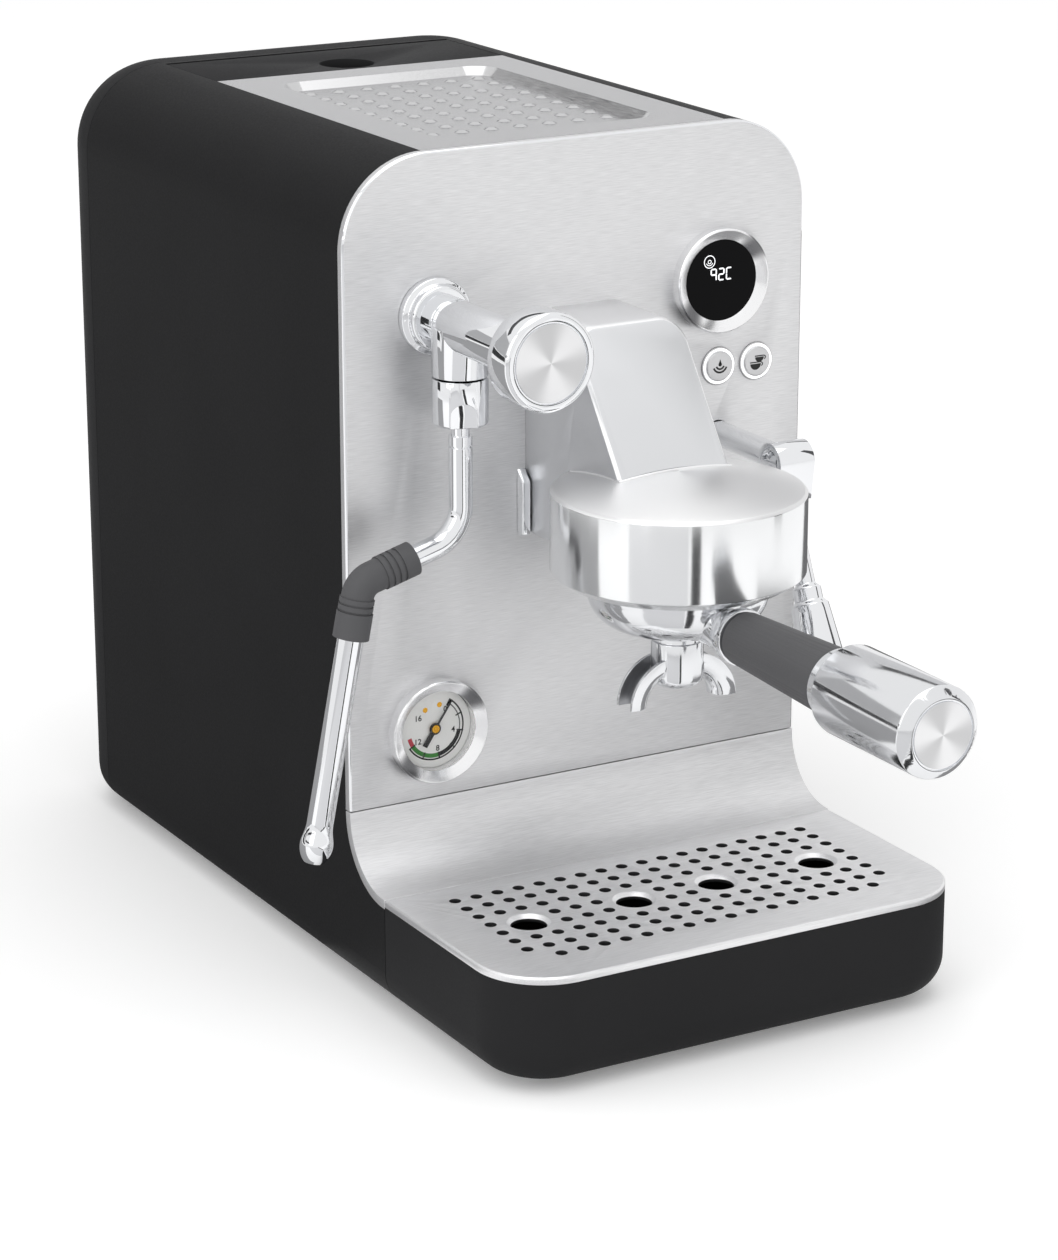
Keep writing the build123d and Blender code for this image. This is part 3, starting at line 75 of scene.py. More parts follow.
def start_material(name, colour, metallic=0.0, roughness=0.5, **sockets):
    """A material with its constant numbers set on the shader itself."""
    material = bpy.data.materials.new(name)
    material.use_nodes = True
    shader = material.node_tree.nodes["Principled BSDF"]
    shader.inputs["Base Color"].default_value = linear(colour)
    shader.inputs["Metallic"].default_value = metallic
    shader.inputs["Roughness"].default_value = roughness
    for socket, value in sockets.items():
        shader.inputs[socket.replace("_", " ")].default_value = value
    material.diffuse_color = linear(colour)
    return material, shader


# %% [markdown]
# ## Brushed stainless steel
# The front, the apron and the grate are stainless sheet, brushed from side to side with an abrasive belt.
# The belt leaves fine parallel scratches, so the sheet mirrors softly along X and blurs up and down.
# A noise that is stretched along X draws those scratches. Real ones are about 0.1 mm wide.
# They are drawn 0.35 mm wide here, because finer ones would not show in the picture.

# %% Brushed finishes
scratch_width = 0.35 * mm
scratch_length = 8 * mm


def brushed(name, dark, light, along, roughness):
    """Steel with scratches along one axis, in colour, roughness and relief."""
    material, shader = start_material(name, light, metallic=1.0, roughness=roughness)
    place = add(material, "ShaderNodeTexCoord")
    scale = [1 / scratch_width] * 3
    scale["XYZ".index(along)] = 1 / scratch_length
    stretch = add(material, "ShaderNodeMapping", {"Vector": place.outputs["Object"], "Scale": scale})
    scratch = add(
        material, "ShaderNodeTexNoise",
        {"Vector": stretch.outputs["Vector"], "Scale": 1.0, "Detail": 2.0},
    )
    tone = add(
        material, "ShaderNodeMix",
        {"Factor": scratch.outputs["Fac"], "A": linear(dark), "B": linear(light)}, data_type="RGBA",
    )
    rough = add(
        material, "ShaderNodeMapRange",
        {"Value": scratch.outputs["Fac"], "From Min": 0.3, "From Max": 0.7,
         "To Min": roughness - 0.04, "To Max": roughness + 0.05},
    )
    relief = add(
        material, "ShaderNodeBump",
        {"Height": scratch.outputs["Fac"], "Strength": 0.08, "Distance": 0.03 * mm},
    )
    links = material.node_tree.links
    links.new(tone.outputs[2], shader.inputs["Base Color"])
    links.new(rough.outputs["Result"], shader.inputs["Roughness"])
    links.new(relief.outputs["Normal"], shader.inputs["Normal"])
    return material


# Belt-brushed sheet: a broad soft highlight and a fine level grain.
brushed_panel = brushed("brushed_stainless_across", "#CACACB", "#F4F4F5", along="X", roughness=0.50)
# A finer finish from front to back: the top plate still mirrors its surroundings in streaks.
satin_steel = brushed("satin_stainless_lengthwise", "#C4C4C5", "#D4D4D5", along="Y", roughness=0.20)
# The same belt on a paler sheet: the grate looks nearly white beside its dark holes.
brushed_tray = brushed("brushed_stainless_tray_side", "#DADADB", "#FCFCFD", along="X", roughness=0.42)
print("brushed finishes:", brushed_panel.name, satin_steel.name, brushed_tray.name)

# %% [markdown]
# ## Chrome plate
# The valve arm, wand, group, bezels and handle end are polished brass or zinc under bright chrome.
# Chrome is a mirror with a slightly cool tint. Handling leaves faint smears,
# so a soft noise of about 12 mm varies the roughness by a few hundredths.

# %% Chrome
smear_size = 12 * mm


def plated(name, colour, low, high):
    """Plated metal whose roughness varies from low to high, from place to place."""
    material, shader = start_material(name, colour, metallic=1.0, roughness=low)
    place = add(material, "ShaderNodeTexCoord")
    smear = add(
        material, "ShaderNodeTexNoise",
        {"Vector": place.outputs["Object"], "Scale": 1 / smear_size, "Detail": 4.0},
    )
    rough = add(
        material, "ShaderNodeMapRange",
        {"Value": smear.outputs["Fac"], "From Min": 0.35, "From Max": 0.7, "To Min": low, "To Max": high},
    )
    material.node_tree.links.new(rough.outputs["Result"], shader.inputs["Roughness"])
    return material


# Bright chrome: a clear mirror with a cool tint.
chrome = plated("polished_chrome_plate", "#E9EAEC", low=0.03, high=0.07)
# Satin chrome: a soft grey sheen without clear reflections.
satin_chrome = plated("satin_chrome_plate", "#DCDDDF", low=0.28, high=0.34)
# Paler satin chrome: a painted highlight that picks out the edges.
pale_chrome_painted_highlight = plated("chrome_painted_highlight", "#F4F4F5", low=0.30, high=0.36)
# Lacquered brass: a small warm glint.
brass = plated("lacquered_brass", "#C9962F", low=0.22, high=0.30)
print("plated finishes with smears of", round(smear_size / mm), "mm")

# %% [markdown]
# ## Spun metal
# The discs on the knob and the handle, and the drum's dome, are finished on a lathe.
# The tool leaves fine rings, and on real metal the rings catch the light in bright wedges that run out from
# the centre.
# Here a radial gradient about the turning axis paints such wedges into the colour as a fixed painted
# highlight, and rings about 3 mm apart give the relief.
# Real rings are far finer. They are drawn this coarse so that they just show.

# %% Spun finish
ring_pitch = math.pi * mm
wave_rate = 20


def spun(name, dark, light, centre, axis, wedges, turn, roughness, reach=1.0):
    """Lathe-turned metal about an axis along Y or Z through a centre, with wedges of painted highlight in
    its colour.
    """
    material, shader = start_material(name, light, metallic=1.0, roughness=roughness)
    place = add(material, "ShaderNodeTexCoord")
    tip = (math.pi / 2, 0.0, 0.0) if axis == "Y" else (0.0, 0.0, 0.0)
    middle = Matrix.Rotation(tip[0], 3, "X") @ Vector(centre)
    local = add(
        material, "ShaderNodeMapping",
        {"Vector": place.outputs["Object"], "Rotation": tip, "Location": -middle},
    )
    # The angle about the axis paints wedges of highlight into the colour, and they stay put as the view
    # moves.
    angle = add(
        material, "ShaderNodeTexGradient", {"Vector": local.outputs["Vector"]}, gradient_type="RADIAL",
    )
    swing = add(
        material, "ShaderNodeMath",
        {0: angle.outputs["Fac"], 1: 2 * math.pi * wedges, 2: turn}, operation="MULTIPLY_ADD",
    )
    wave = add(material, "ShaderNodeMath", {0: swing.outputs["Value"]}, operation="SINE")
    painted_wedge = add(
        material, "ShaderNodeMapRange",
        {"Value": wave.outputs["Value"], "From Min": -1.0, "From Max": reach},
        interpolation_type="SMOOTHSTEP",
    )
    tone = add(
        material, "ShaderNodeMix",
        {"Factor": painted_wedge.outputs["Result"], "A": linear(dark), "B": linear(light)}, data_type="RGBA",
    )
    # At a scale of 1 the wave texture turns by 20 radians in each unit of length.
    rings = add(
        material, "ShaderNodeTexWave",
        {"Vector": local.outputs["Vector"], "Scale": 2 * math.pi / (wave_rate * ring_pitch)},
        wave_type="RINGS", rings_direction="Z",
    )
    relief = add(
        material, "ShaderNodeBump",
        {"Height": rings.outputs["Fac"], "Strength": 0.06, "Distance": 0.02 * mm},
    )
    links = material.node_tree.links
    links.new(tone.outputs[2], shader.inputs["Base Color"])
    links.new(relief.outputs["Normal"], shader.inputs["Normal"])
    return material


knob_axis = (-69 * mm, 0, 287 * mm)
handle_axis = (0, 0, 174.4 * mm)
group_axis = (0, -79 * mm, 0)
# Spun steel on both discs: three pale wedges of painted highlight that fan out from the centre.
spun_knob_painted_sheen = spun(
    "spun_steel_knob_disc_painted_sheen", "#CACACB", "#EAEAEB", knob_axis,
    axis="Y", wedges=3, turn=0.6, roughness=0.36,
)
spun_handle_painted_sheen = spun(
    "spun_steel_handle_disc_painted_sheen", "#C8C8C9", "#E8E8E9", handle_axis,
    axis="Y", wedges=3, turn=0.9, roughness=0.36,
)
# Chrome over a spun dome: two broad wedges of painted highlight that hardly stand out.
spun_dome_painted_sheen = spun(
    "spun_chrome_dome", "#E2E2E3", "#FAFAFA", group_axis,
    axis="Z", wedges=2, turn=0.4, roughness=0.38,
)
print("spun finishes with rings", round(ring_pitch / mm, 2), "mm apart")

# %% [markdown]
# ## Powder coat, moulded plastic and rubber
# The casing wrapper is steel with a satin powder coat, and the back, lid and tray are moulded to match it.
# Both are near black with a fine even grain. One function makes such grained finishes:
# the grain and the depth of its relief are real sizes in millimetres, and the relief stays shallow.

# %% Grained finishes
cloud_size = 60 * mm


def grained(name, dark, light, grain, roughness, relief, **sockets):
    """Coat, plastic, rubber or casting with an even grain; grain and relief are in millimetres."""
    material, shader = start_material(name, light, roughness=roughness, **sockets)
    place = add(material, "ShaderNodeTexCoord")
    grit = add(
        material, "ShaderNodeTexNoise",
        {"Vector": place.outputs["Object"], "Scale": 1 / (grain * mm), "Detail": 2.0},
    )
    cloud = add(
        material, "ShaderNodeTexNoise",
        {"Vector": place.outputs["Object"], "Scale": 1 / cloud_size, "Detail": 2.0},
    )
    tone = add(
        material, "ShaderNodeMix",
        {"Factor": cloud.outputs["Fac"], "A": linear(dark), "B": linear(light)}, data_type="RGBA",
    )
    rough = add(
        material, "ShaderNodeMapRange",
        {"Value": grit.outputs["Fac"], "From Min": 0.3, "From Max": 0.7,
         "To Min": roughness - 0.04, "To Max": roughness + 0.05},
    )
    bump = add(
        material, "ShaderNodeBump",
        {"Height": grit.outputs["Fac"], "Strength": 0.25, "Distance": relief * mm},
    )
    links = material.node_tree.links
    links.new(tone.outputs[2], shader.inputs["Base Color"])
    links.new(rough.outputs["Result"], shader.inputs["Roughness"])
    links.new(bump.outputs["Normal"], shader.inputs["Normal"])
    return material


# Powder coat: deep black with a dull even sheen.
black_coat = grained(
    "satin_black_powder_coat", "#1C1C1D", "#212122", grain=0.9, roughness=0.52, relief=0.04,
    Specular_IOR_Level=0.08,
)
# Moulded plastic: a slightly lighter black that hardly shines.
black_moulding = grained(
    "satin_black_moulding", "#29292A", "#2E2E2F", grain=0.8, roughness=0.55, relief=0.03,
    Specular_IOR_Level=0.04,
)
# Soft-touch rubber: dark grey with a broad faint highlight.
soft_rubber = grained(
    "soft_grey_rubber", "#4E4E50", "#58585A", grain=0.7, roughness=0.60, relief=0.05,
    Specular_IOR_Level=0.35,
)
# Plain rubber: matt black.
black_rubber = grained("black_rubber", "#121212", "#181818", grain=0.8, roughness=0.75, relief=0.06)
# Display glass: a smooth black pane that mirrors very little.
display_glass = grained(
    "black_display_glass", "#030304", "#060608", grain=3.0, roughness=0.08, relief=0.001,
    Specular_IOR_Level=0.08,
)
# Lit diffuser: an even white glow.
light_ring = grained(
    "lit_ring_diffuser", "#F4F6F8", "#FFFFFF", grain=1.0, roughness=0.40, relief=0.01,
    Emission_Color=linear("#FFFFFF"), Emission_Strength=0.9,
)
# Blasted steel: a pale grey cap without clear reflections.
button_metal = grained(
    "satin_button_cap", "#CCCCCD", "#D8D8D9", grain=0.5, roughness=0.42, relief=0.01, Metallic=1.0,
)
# Printed card: off-white and matt.
dial_face = grained("printed_dial_card", "#EAEAE8", "#F2F2F0", grain=0.6, roughness=0.55, relief=0.01)
# Stoved lacquer: black with a slight shine.
needle_black = grained("needle_lacquer", "#161617", "#1E1E20", grain=0.5, roughness=0.40, relief=0.01)
print("outer finishes ready, the first one", black_coat.name)

# %% [markdown]
# ## Finishes inside the casing
# The works behind the panel show only when the tank is lifted or the part is taken to pieces.
# They are cast, pressed and moulded in plain trade finishes, so each one gets its own grain too.

# %% Inner finishes
# Moulded frames and pump: dark grey and dull.
inner_plastic = grained("dark_inner_moulding", "#242528", "#2E2F33", grain=0.8, roughness=0.55, relief=0.05)
# Sand-cast boilers: a rough light grey that sparkles a little.
cast_block = grained(
    "sand_cast_aluminium", "#9A9B9E", "#B2B3B6", grain=1.6, roughness=0.55, relief=0.20, Metallic=1.0,
)
# Zinc-plated sheet: a flat mid grey with large faint crystals.
sheet_steel = grained(
    "plain_zinc_sheet", "#8E9092", "#A6A8AA", grain=5.0, roughness=0.42, relief=0.02, Metallic=1.0,
)
# Board laminate: a dull green.
circuit_board = grained(
    "green_board_laminate", "#1D4A2E", "#27603C", grain=1.2, roughness=0.45, relief=0.03,
)
# Silicone hose: milky and half shiny.
hose_silicone = grained("milky_silicone_hose", "#BFC0BE", "#D2D3D1", grain=2.0, roughness=0.45, relief=0.03)
# Smoked plastic: dark and glossy, as a tank that is seen only from outside.
tank_plastic = grained("smoked_tank_plastic", "#2A2D31", "#34383D", grain=4.0, roughness=0.15, relief=0.01)
print("inner finishes ready, the last one", tank_plastic.name)

# %% [markdown]
# ## Clear glass
# The gauge sits behind a flat pane of float glass. A thin pane hardly bends the light,
# so a low index of refraction keeps the dial in its place behind it.
# A trace of noise in the roughness stands for wiped dust.

# %% Glass
dust_size = 4 * mm
clear_glass, clear_shader = start_material(
    "clear_gauge_glass", "#FFFFFF", roughness=0.02, Transmission_Weight=1.0, IOR=1.15,
)
glass_place = add(clear_glass, "ShaderNodeTexCoord")
glass_dust = add(
    clear_glass, "ShaderNodeTexNoise", {"Vector": glass_place.outputs["Object"], "Scale": 1 / dust_size},
)
glass_rough = add(
    clear_glass, "ShaderNodeMapRange",
    {"Value": glass_dust.outputs["Fac"], "To Min": 0.0, "To Max": 0.03},
)
clear_glass.node_tree.links.new(glass_rough.outputs["Result"], clear_shader.inputs["Roughness"])
print("glass ready, with dust of", round(dust_size / mm), "mm")

# %% [markdown]
# ## Every solid gets its finish
# The record names a slot for each solid, so one table from slot to finish dresses them all.

# %% Dress the solids
finishes = {
    "black_coat": black_coat,
    "black_moulding": black_moulding,
    "brushed_panel": brushed_panel,
    "satin_steel": satin_steel,
    "chrome_plate": chrome,
    "spun_steel": satin_steel,
    "soft_rubber": soft_rubber,
    "black_rubber": black_rubber,
    "display_glass": display_glass,
    "clear_glass": clear_glass,
    "dial_face": dial_face,
    "needle_black": needle_black,
    "light_ring": light_ring,
    "sheet_steel": sheet_steel,
    "filter_steel": sheet_steel,
    "cast_block": cast_block,
    "tank_plastic": tank_plastic,
    "inner_plastic": inner_plastic,
    "circuit_board": circuit_board,
    "hose_silicone": hose_silicone,
}
slot_of = {part["node"]: part["material_slot"] for part in frame["record"]["subparts"]}
for node, slot_name in slot_of.items():
    mesh = frame["nodes"][node].data
    mesh.materials.clear()
    mesh.materials.append(finishes[slot_name])
print("dressed", len(slot_of), "solids")

# %% [markdown]
# ## Keeping a piece
# Each new piece is shaped in a bmesh. When it is done, it becomes an object at the origin,
# rides on the body that carries it, and shades smoothly except across real edges.

# %% Keep a piece
smooth_limit = math.radians(32)


def keep(shape, name, materials, body, stands_for=()):
    """Turn a bmesh into a finished piece that rides on a body."""
    mesh = bpy.data.meshes.new(name)
    shape.to_mesh(mesh)
    shape.free()
    for material in materials:
        mesh.materials.append(material)
    mesh.shade_smooth()
    mesh.set_sharp_from_angle(angle=smooth_limit)
    piece = bpy.data.objects.new(name, mesh)
    bpy.context.scene.collection.objects.link(piece)
    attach(piece, body)
    if stands_for:
        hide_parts(*stands_for)


print("pieces shade smoothly below", round(math.degrees(smooth_limit)), "degrees")

# %% [markdown]
# ## Softened edges
# A machined or plated edge is never truly sharp: tumbling, buffing and plating round it by a few tenths.
# That narrow round catches a bright line of light, and without it metal looks like paper.
# Here a merged copy of a solid gets its flat triangles joined back into faces,
# and every edge that turns by more than 28 degrees is bevelled in two steps.

# %% Soften the solids
sharp_turn = math.radians(28)
flat_turn = math.radians(0.3)
merge_distance = 0.001 * mm
bodies = frame["record"]["behaviour"]["bodies"]
body_of_node = {node: body for body, nodes in bodies.items() for node in nodes}


def soften(node, width, materials=None, choose=None):
    """Piece that stands for a solid, its sharp edges rounded; choose(face) gives a face's material."""
    shape = bmesh.new()
    shape.from_mesh(frame["nodes"][node].data)
    bmesh.ops.remove_doubles(shape, verts=shape.verts[:], dist=merge_distance)
    bmesh.ops.dissolve_limit(shape, angle_limit=flat_turn, verts=shape.verts[:], edges=shape.edges[:])
    shape.normal_update()
    if choose:
        for face in shape.faces:
            face.material_index = choose(face)
    edges = [edge for edge in shape.edges if edge.is_manifold and edge.calc_face_angle() > sharp_turn]
    bmesh.ops.bevel(
        shape, geom=edges, offset=width, offset_type="OFFSET", affect="EDGES",
        segments=2, profile=0.5, material=-1, clamp_overlap=False, loop_slide=True,
    )
    materials = materials or [finishes[slot_of[node]]]
    keep(shape, node + "_finished", materials, body_of_node[node], [node])


rounds = {
    "steam_rosette": 0.5, "steam_arm": 0.2, "steam_knob": 0.5, "wand_swivel_cup": 0.3,
    "handle_grip": 0.4, "hot_water_nozzle": 0.3, "hot_water_arm": 0.12, "neck_rails": 0.6,
    "tank_lid": 0.18,
}
for node, width in rounds.items():
    soften(node, width * mm)
button_round = 0.25 * mm
for node in ("rinse_button", "cups_button"):
    soften(node, button_round, [button_metal])
print("softened", len(rounds), "solids and two buttons")

# %% [markdown]
# ## Pieces with two finishes
# Some pieces differ from face to face. The neck is satin, and a paler copy of its finish on the bevel round
# its sloping face and on its level top is a painted highlight.
# The drum's side is plated over fine lathe marks, so it mirrors sharply
# from side to side and smears up and down. Anisotropy on the shader gives that, and the dome is spun, with
# wedges of painted highlight.
# The front panel is brushed, and its cut edge is polished.
# A small rule on each face's normal tells them apart. The apron is brushed all over.

# %% Neck, drum and panel
slope_normal = Vector((0.0, -0.816, 0.579))
same_slope = 0.99
front_limit = -0.3
nearly_square = 0.95
dome_rise = 0.6
# Chrome over lathe marks: a mirror that is drawn out along the drum.
drum_chrome = plated("lathe_marked_chrome", "#EEEFF0", low=0.15, high=0.18)
drum_shader = drum_chrome.node_tree.nodes["Principled BSDF"]
drum_shader.inputs["Anisotropic"].default_value = 0.9
drum_shader.inputs["Anisotropic Rotation"].default_value = 0.25


def neck_face(face):
    """The bevel and the level top take the paler copy, a painted highlight."""
    bevel = face.normal.y < front_limit and face.normal.dot(slope_normal) < same_slope
    return int(bevel or face.normal.z > nearly_square)


def drum_face(face):
    """The dome is what looks up."""
    return int(face.normal.z > dome_rise)


def panel_face(face):
    """The cut edge looks forward, but not straight ahead."""
    return int(-nearly_square < face.normal.y < front_limit)


# The neck's bevel and level top are painted paler as a highlight.
soften("group_neck", 0.25 * mm, [satin_chrome, pale_chrome_painted_highlight], neck_face)
soften("apron_panel", 0.15 * mm, [brushed_panel])
soften("group_head", 0.3 * mm, [drum_chrome, spun_dome_painted_sheen], drum_face)
soften("front_panel", 0.12 * mm, [brushed_panel, chrome], panel_face)
print("neck, drum and panel have two finishes each")

# %% [markdown]
# ## Portafilter and spout
# The bowl is drawn brass and the spout is cast. Both are buffed by hand before they are plated,
# so they mirror a little more softly than the turned pieces.
# No buffing wheel reaches into the spout's open channels, so they stay dull, and their darker colour is
# painted shade.
# A face belongs to a channel if it lies between the two walls and inside the arm's quarter round.

# %% Portafilter finishes
# Hand-buffed chrome: a mirror with soft edges.
hand_buffed = plated("hand_buffed_chrome", "#E2E3E5", low=0.09, high=0.13)
# Chrome on an unpolished casting: dull, and darker with painted shade.
dull_channel_painted_shade = plated("unpolished_channel_painted_shade", "#96979A", low=0.36, high=0.44)
spout_pivot_x, spout_tip = 5.0 * mm, 134.5 * mm
channel_half, channel_floor, channel_rim = 4.45 * mm, 12.0 * mm, 19.9 * mm


def channel_face(face):
    """The channels stay dull and take the painted shade."""
    x, y, z = face.calc_center_median()
    reach = math.hypot(abs(x) - spout_pivot_x, z - spout_tip)
    between_walls = abs(y - group_axis[1]) < channel_half
    return int(between_walls and channel_floor < reach < channel_rim and z > spout_tip)


soften("double_spout", 0.3 * mm, [hand_buffed, dull_channel_painted_shade], channel_face)
for node, width in {"portafilter_body": 0.1, "handle_ferrule": 0.4, "handle_cap": 0.5}.items():
    soften(node, width * mm, [hand_buffed])
print("portafilter buffed, its two channels left dull")

# %% [markdown]
# ## The grate's punched holes
# A punch shears the sheet, so the wall that it leaves in each hole is rough,
# and its dark colour is painted shade, while the rim stays bright.
# A face belongs to a hole if it stands upright and lies well inside the plate's outline.

# %% Grate
# Sheared steel: a rough wall with shade painted into its dark colour, so that each hole looks deep.
punched_wall_painted_shade = plated("sheared_hole_wall_painted_shade", "#4A4A4B", low=0.50, high=0.60)
hole_margin = 10 * mm
upright_limit = 0.3
grate_points = [vert.co for vert in frame["nodes"]["drip_grate"].data.vertices]
grate_front = min(point.y for point in grate_points)
grate_back = max(point.y for point in grate_points)
grate_side = max(point.x for point in grate_points)


def grate_face(face):
    """The walls of the holes take the painted shade."""
    middle = face.calc_center_median()
    within_sides = abs(middle.x) < grate_side - hole_margin
    within_ends = grate_front + hole_margin < middle.y < grate_back - hole_margin
    return int(within_sides and within_ends and abs(face.normal.z) < upright_limit)


soften("drip_grate", 0.08 * mm, [brushed_tray, punched_wall_painted_shade], grate_face)
print("grate", round((grate_back - grate_front) / mm), "mm deep, with dark hole walls")

# %% [markdown]
# ## The bead at the neck's foot
# A thin bead closes the joint between the neck and the dome, and its pale colour is a painted highlight.
# It would be soldered on as a bent wire.
# Its path runs round three sides of the neck, and a ray dropped on the dome gives each point its height.

# %% Bead
neck_side, neck_nose = 26.35 * mm, -76.35 * mm
bead_radius, bead_sides, bead_steps = 0.45 * mm, 10, 24
bead_reach, bead_lift = 43 * mm, 0.15 * mm
above, down = 1.0, Vector((0, 0, -1))
dome = bmesh.new()
dome.from_mesh(frame["nodes"]["group_head"].data)
dome_tree = BVHTree.FromBMesh(dome)
dome.free()
bead_back = group_axis[1] + bead_reach
corners = [
    Vector((-neck_side, bead_back, above)), Vector((-neck_side, neck_nose, above)),
    Vector((neck_side, neck_nose, above)), Vector((neck_side, bead_back, above)),
]
bead_path = []
for first, last in zip(corners, corners[1:]):
    for step in range(bead_steps):
        start = first.lerp(last, step / bead_steps)
        bead_path.append(dome_tree.ray_cast(start, down)[0])
bead = bmesh.new()
rings = []
for before, point, after in zip(bead_path, bead_path[1:], bead_path[2:]):
    facing = Vector((0, 0, 1)).rotation_difference(after - before).to_matrix().to_4x4()
    place = Matrix.Translation(point + Vector((0, 0, bead_lift))) @ facing
    made = bmesh.ops.create_circle(
        bead, cap_ends=False, segments=bead_sides, radius=bead_radius, matrix=place,
    )
    rings.append(list({edge for vert in made["verts"] for edge in vert.link_edges}))
for one, other in zip(rings, rings[1:]):
    bmesh.ops.bridge_loops(bead, edges=one + other)
bmesh.ops.holes_fill(bead, edges=rings[0] + rings[-1], sides=bead_sides)
bmesh.ops.recalc_face_normals(bead, faces=bead.faces[:])
# The bead wears the paler chrome, a painted highlight.
keep(bead, "neck_bead", [pale_chrome_painted_highlight], "machine")
print("bead laid round the neck through", len(rings), "points")

# %% [markdown]
# ## Turned pieces
# The bezels and the discs are turned on a lathe. The natural way to make them is the same here:
# half a section is drawn as a few points, its corners are rounded, and it is spun once round its axis.
# The bezels keep fine lathe marks under their plating, and two dark wedges of painted reflection lie over
# them.

# %% Bezels


def turned(section, centre, steps=96):
    """Closed section of (radius, y, corner round) in millimetres, spun about an axis along Y."""
    shape = bmesh.new()
    x, z = centre[0], centre[2]
    corners = [shape.verts.new((x + radius * mm, y * mm, z)) for radius, y, size in section]
    for first, last in zip(corners, corners[1:] + corners[:1]):
        shape.edges.new((first, last))
    for corner, (radius, y, size) in zip(corners, section):
        if size:
            bmesh.ops.bevel(
                shape, geom=[corner], offset=size * mm, offset_type="OFFSET", affect="VERTICES",
                segments=4, profile=0.5, material=-1,
            )
    outline = shape.verts[:] + shape.edges[:]
    bmesh.ops.spin(
        shape, geom=outline, cent=(x, 0, z), axis=(0, 1, 0), angle=2 * math.pi, steps=steps,
        use_merge=True, use_duplicate=False,
    )
    bmesh.ops.remove_doubles(shape, verts=shape.verts[:], dist=merge_distance)
    bmesh.ops.recalc_face_normals(shape, faces=shape.faces[:])
    return shape


display_centre = (67.5 * mm, 0, 287 * mm)
gauge_centre = (-69 * mm, 0, 109.5 * mm)
bezel_section = [
    (17.4, 5.5, 0), (20.0, 5.5, 0), (20.0, 0.0, 0), (22.5, 0.0, 0),
    (22.5, -4.7, 0.3), (21.7, -5.5, 0.3), (17.4, -2.6, 0.0),
]
for name, centre in (("display_bezel", display_centre), ("gauge_bezel", gauge_centre)):
    # Chrome over lathe marks: bright, with two dark wedges of painted reflection.
    bezel_painted_sheen = spun(
        "spun_chrome_" + name, "#6E6E70", "#F4F4F5", centre, axis="Y", wedges=2, turn=-0.17,
        roughness=0.20, reach=-0.7,
    )
    keep(turned(bezel_section, centre), name + "_ring", [bezel_painted_sheen], "machine", [name])
print("bezels turned from", len(bezel_section), "points")

# %% [markdown]
# ## Discs with a groove
# The knob and the handle each end in a thin disc. A groove near its edge parts the spun face
# from a polished rim. Both discs have the same section, so one function draws it from the disc's radius.

# %% Discs
face_drop, groove_floor = 0.1, 0.7
rim_width, groove_slope, groove_width = 0.25, 0.15, 0.35
polish_width = 0.85


def from_axis(face, centre):
    """Distance of a face's middle from an axis along Y, in millimetres."""
    middle = face.calc_center_median() - Vector(centre)
    return math.hypot(middle.x, middle.z) / mm


def keep_disc(node, body, face_material, centre, radius, front, seat):
    """Spun disc with a groove near its polished edge; radius, front and seat are in millimetres."""
    face_plane, floor_plane = front + face_drop, front + groove_floor
    outer_lip = radius - rim_width
    outer_foot = outer_lip - groove_slope
    inner_foot = outer_foot - groove_width
    inner_lip = inner_foot - groove_slope
    section = [
        (0.0, seat, 0), (radius, seat, 0), (radius, face_plane, 0.2), (outer_lip, face_plane, 0.1),
        (outer_foot, floor_plane, 0), (inner_foot, floor_plane, 0),
        (inner_lip, face_plane, 0.1), (0.0, face_plane, 0),
    ]
    shape = turned(section, centre)
    for face in shape.faces:
        face.material_index = int(from_axis(face, centre) > radius - polish_width)
    keep(shape, node + "_finished", [face_material, chrome], body, [node])


# The spun faces of both discs carry the painted highlight wedges.
keep_disc("steam_knob_disc", "steam_knob", spun_knob_painted_sheen, knob_axis, radius=16.5, front=-95.8, seat=-94.4)
keep_disc("handle_disc", "portafilter", spun_handle_painted_sheen, handle_axis, radius=13.8, front=-263.5, seat=-262.0)
print("discs turned with a groove", rim_width, "mm from the edge")

# %% [markdown]
# ## Lit rings
# A clear ring round each button carries light from the board to the front.
# It sits in a thin metal sleeve, so each ring is turned with a narrow metal rim and a lit face.

# %% Lit rings
rinse_centre = (68.2 * mm, 0, 249.3 * mm)
cups_centre = (87.1 * mm, 0, 249.3 * mm)
sleeve_radius = 7.7
ring_section = [
    (6.9, 5.5, 0), (8.2, 5.5, 0), (8.2, -0.55, 0.1), (sleeve_radius, -0.7, 0), (6.9, -0.7, 0.1),
]


def join(shape, other):
    """Move another bmesh into a shape."""
    mesh = bpy.data.meshes.new("joined")
    other.to_mesh(mesh)
    other.free()
    shape.from_mesh(mesh)
    bpy.data.meshes.remove(mesh)


lit_rings = bmesh.new()
for centre in (rinse_centre, cups_centre):
    ring = turned(ring_section, centre, steps=64)
    for face in ring.faces:
        face.material_index = int(from_axis(face, centre) > sleeve_radius)
    join(lit_rings, ring)
keep(
    lit_rings, "button_light_rings_finished", [light_ring, button_metal], "machine",
    ["button_light_rings"],
)
print("lit rings turned for both buttons")

# %% [markdown]
# ## The gauge's print
# The dial is a printed card: a fine outer line, blocks in black, green and red, ticks and plain numbers.
# A short radial edge that is spun through part of a turn makes each arc.
# The ink is a hair's breadth in front of the card, so that the two don't fight for the same place.

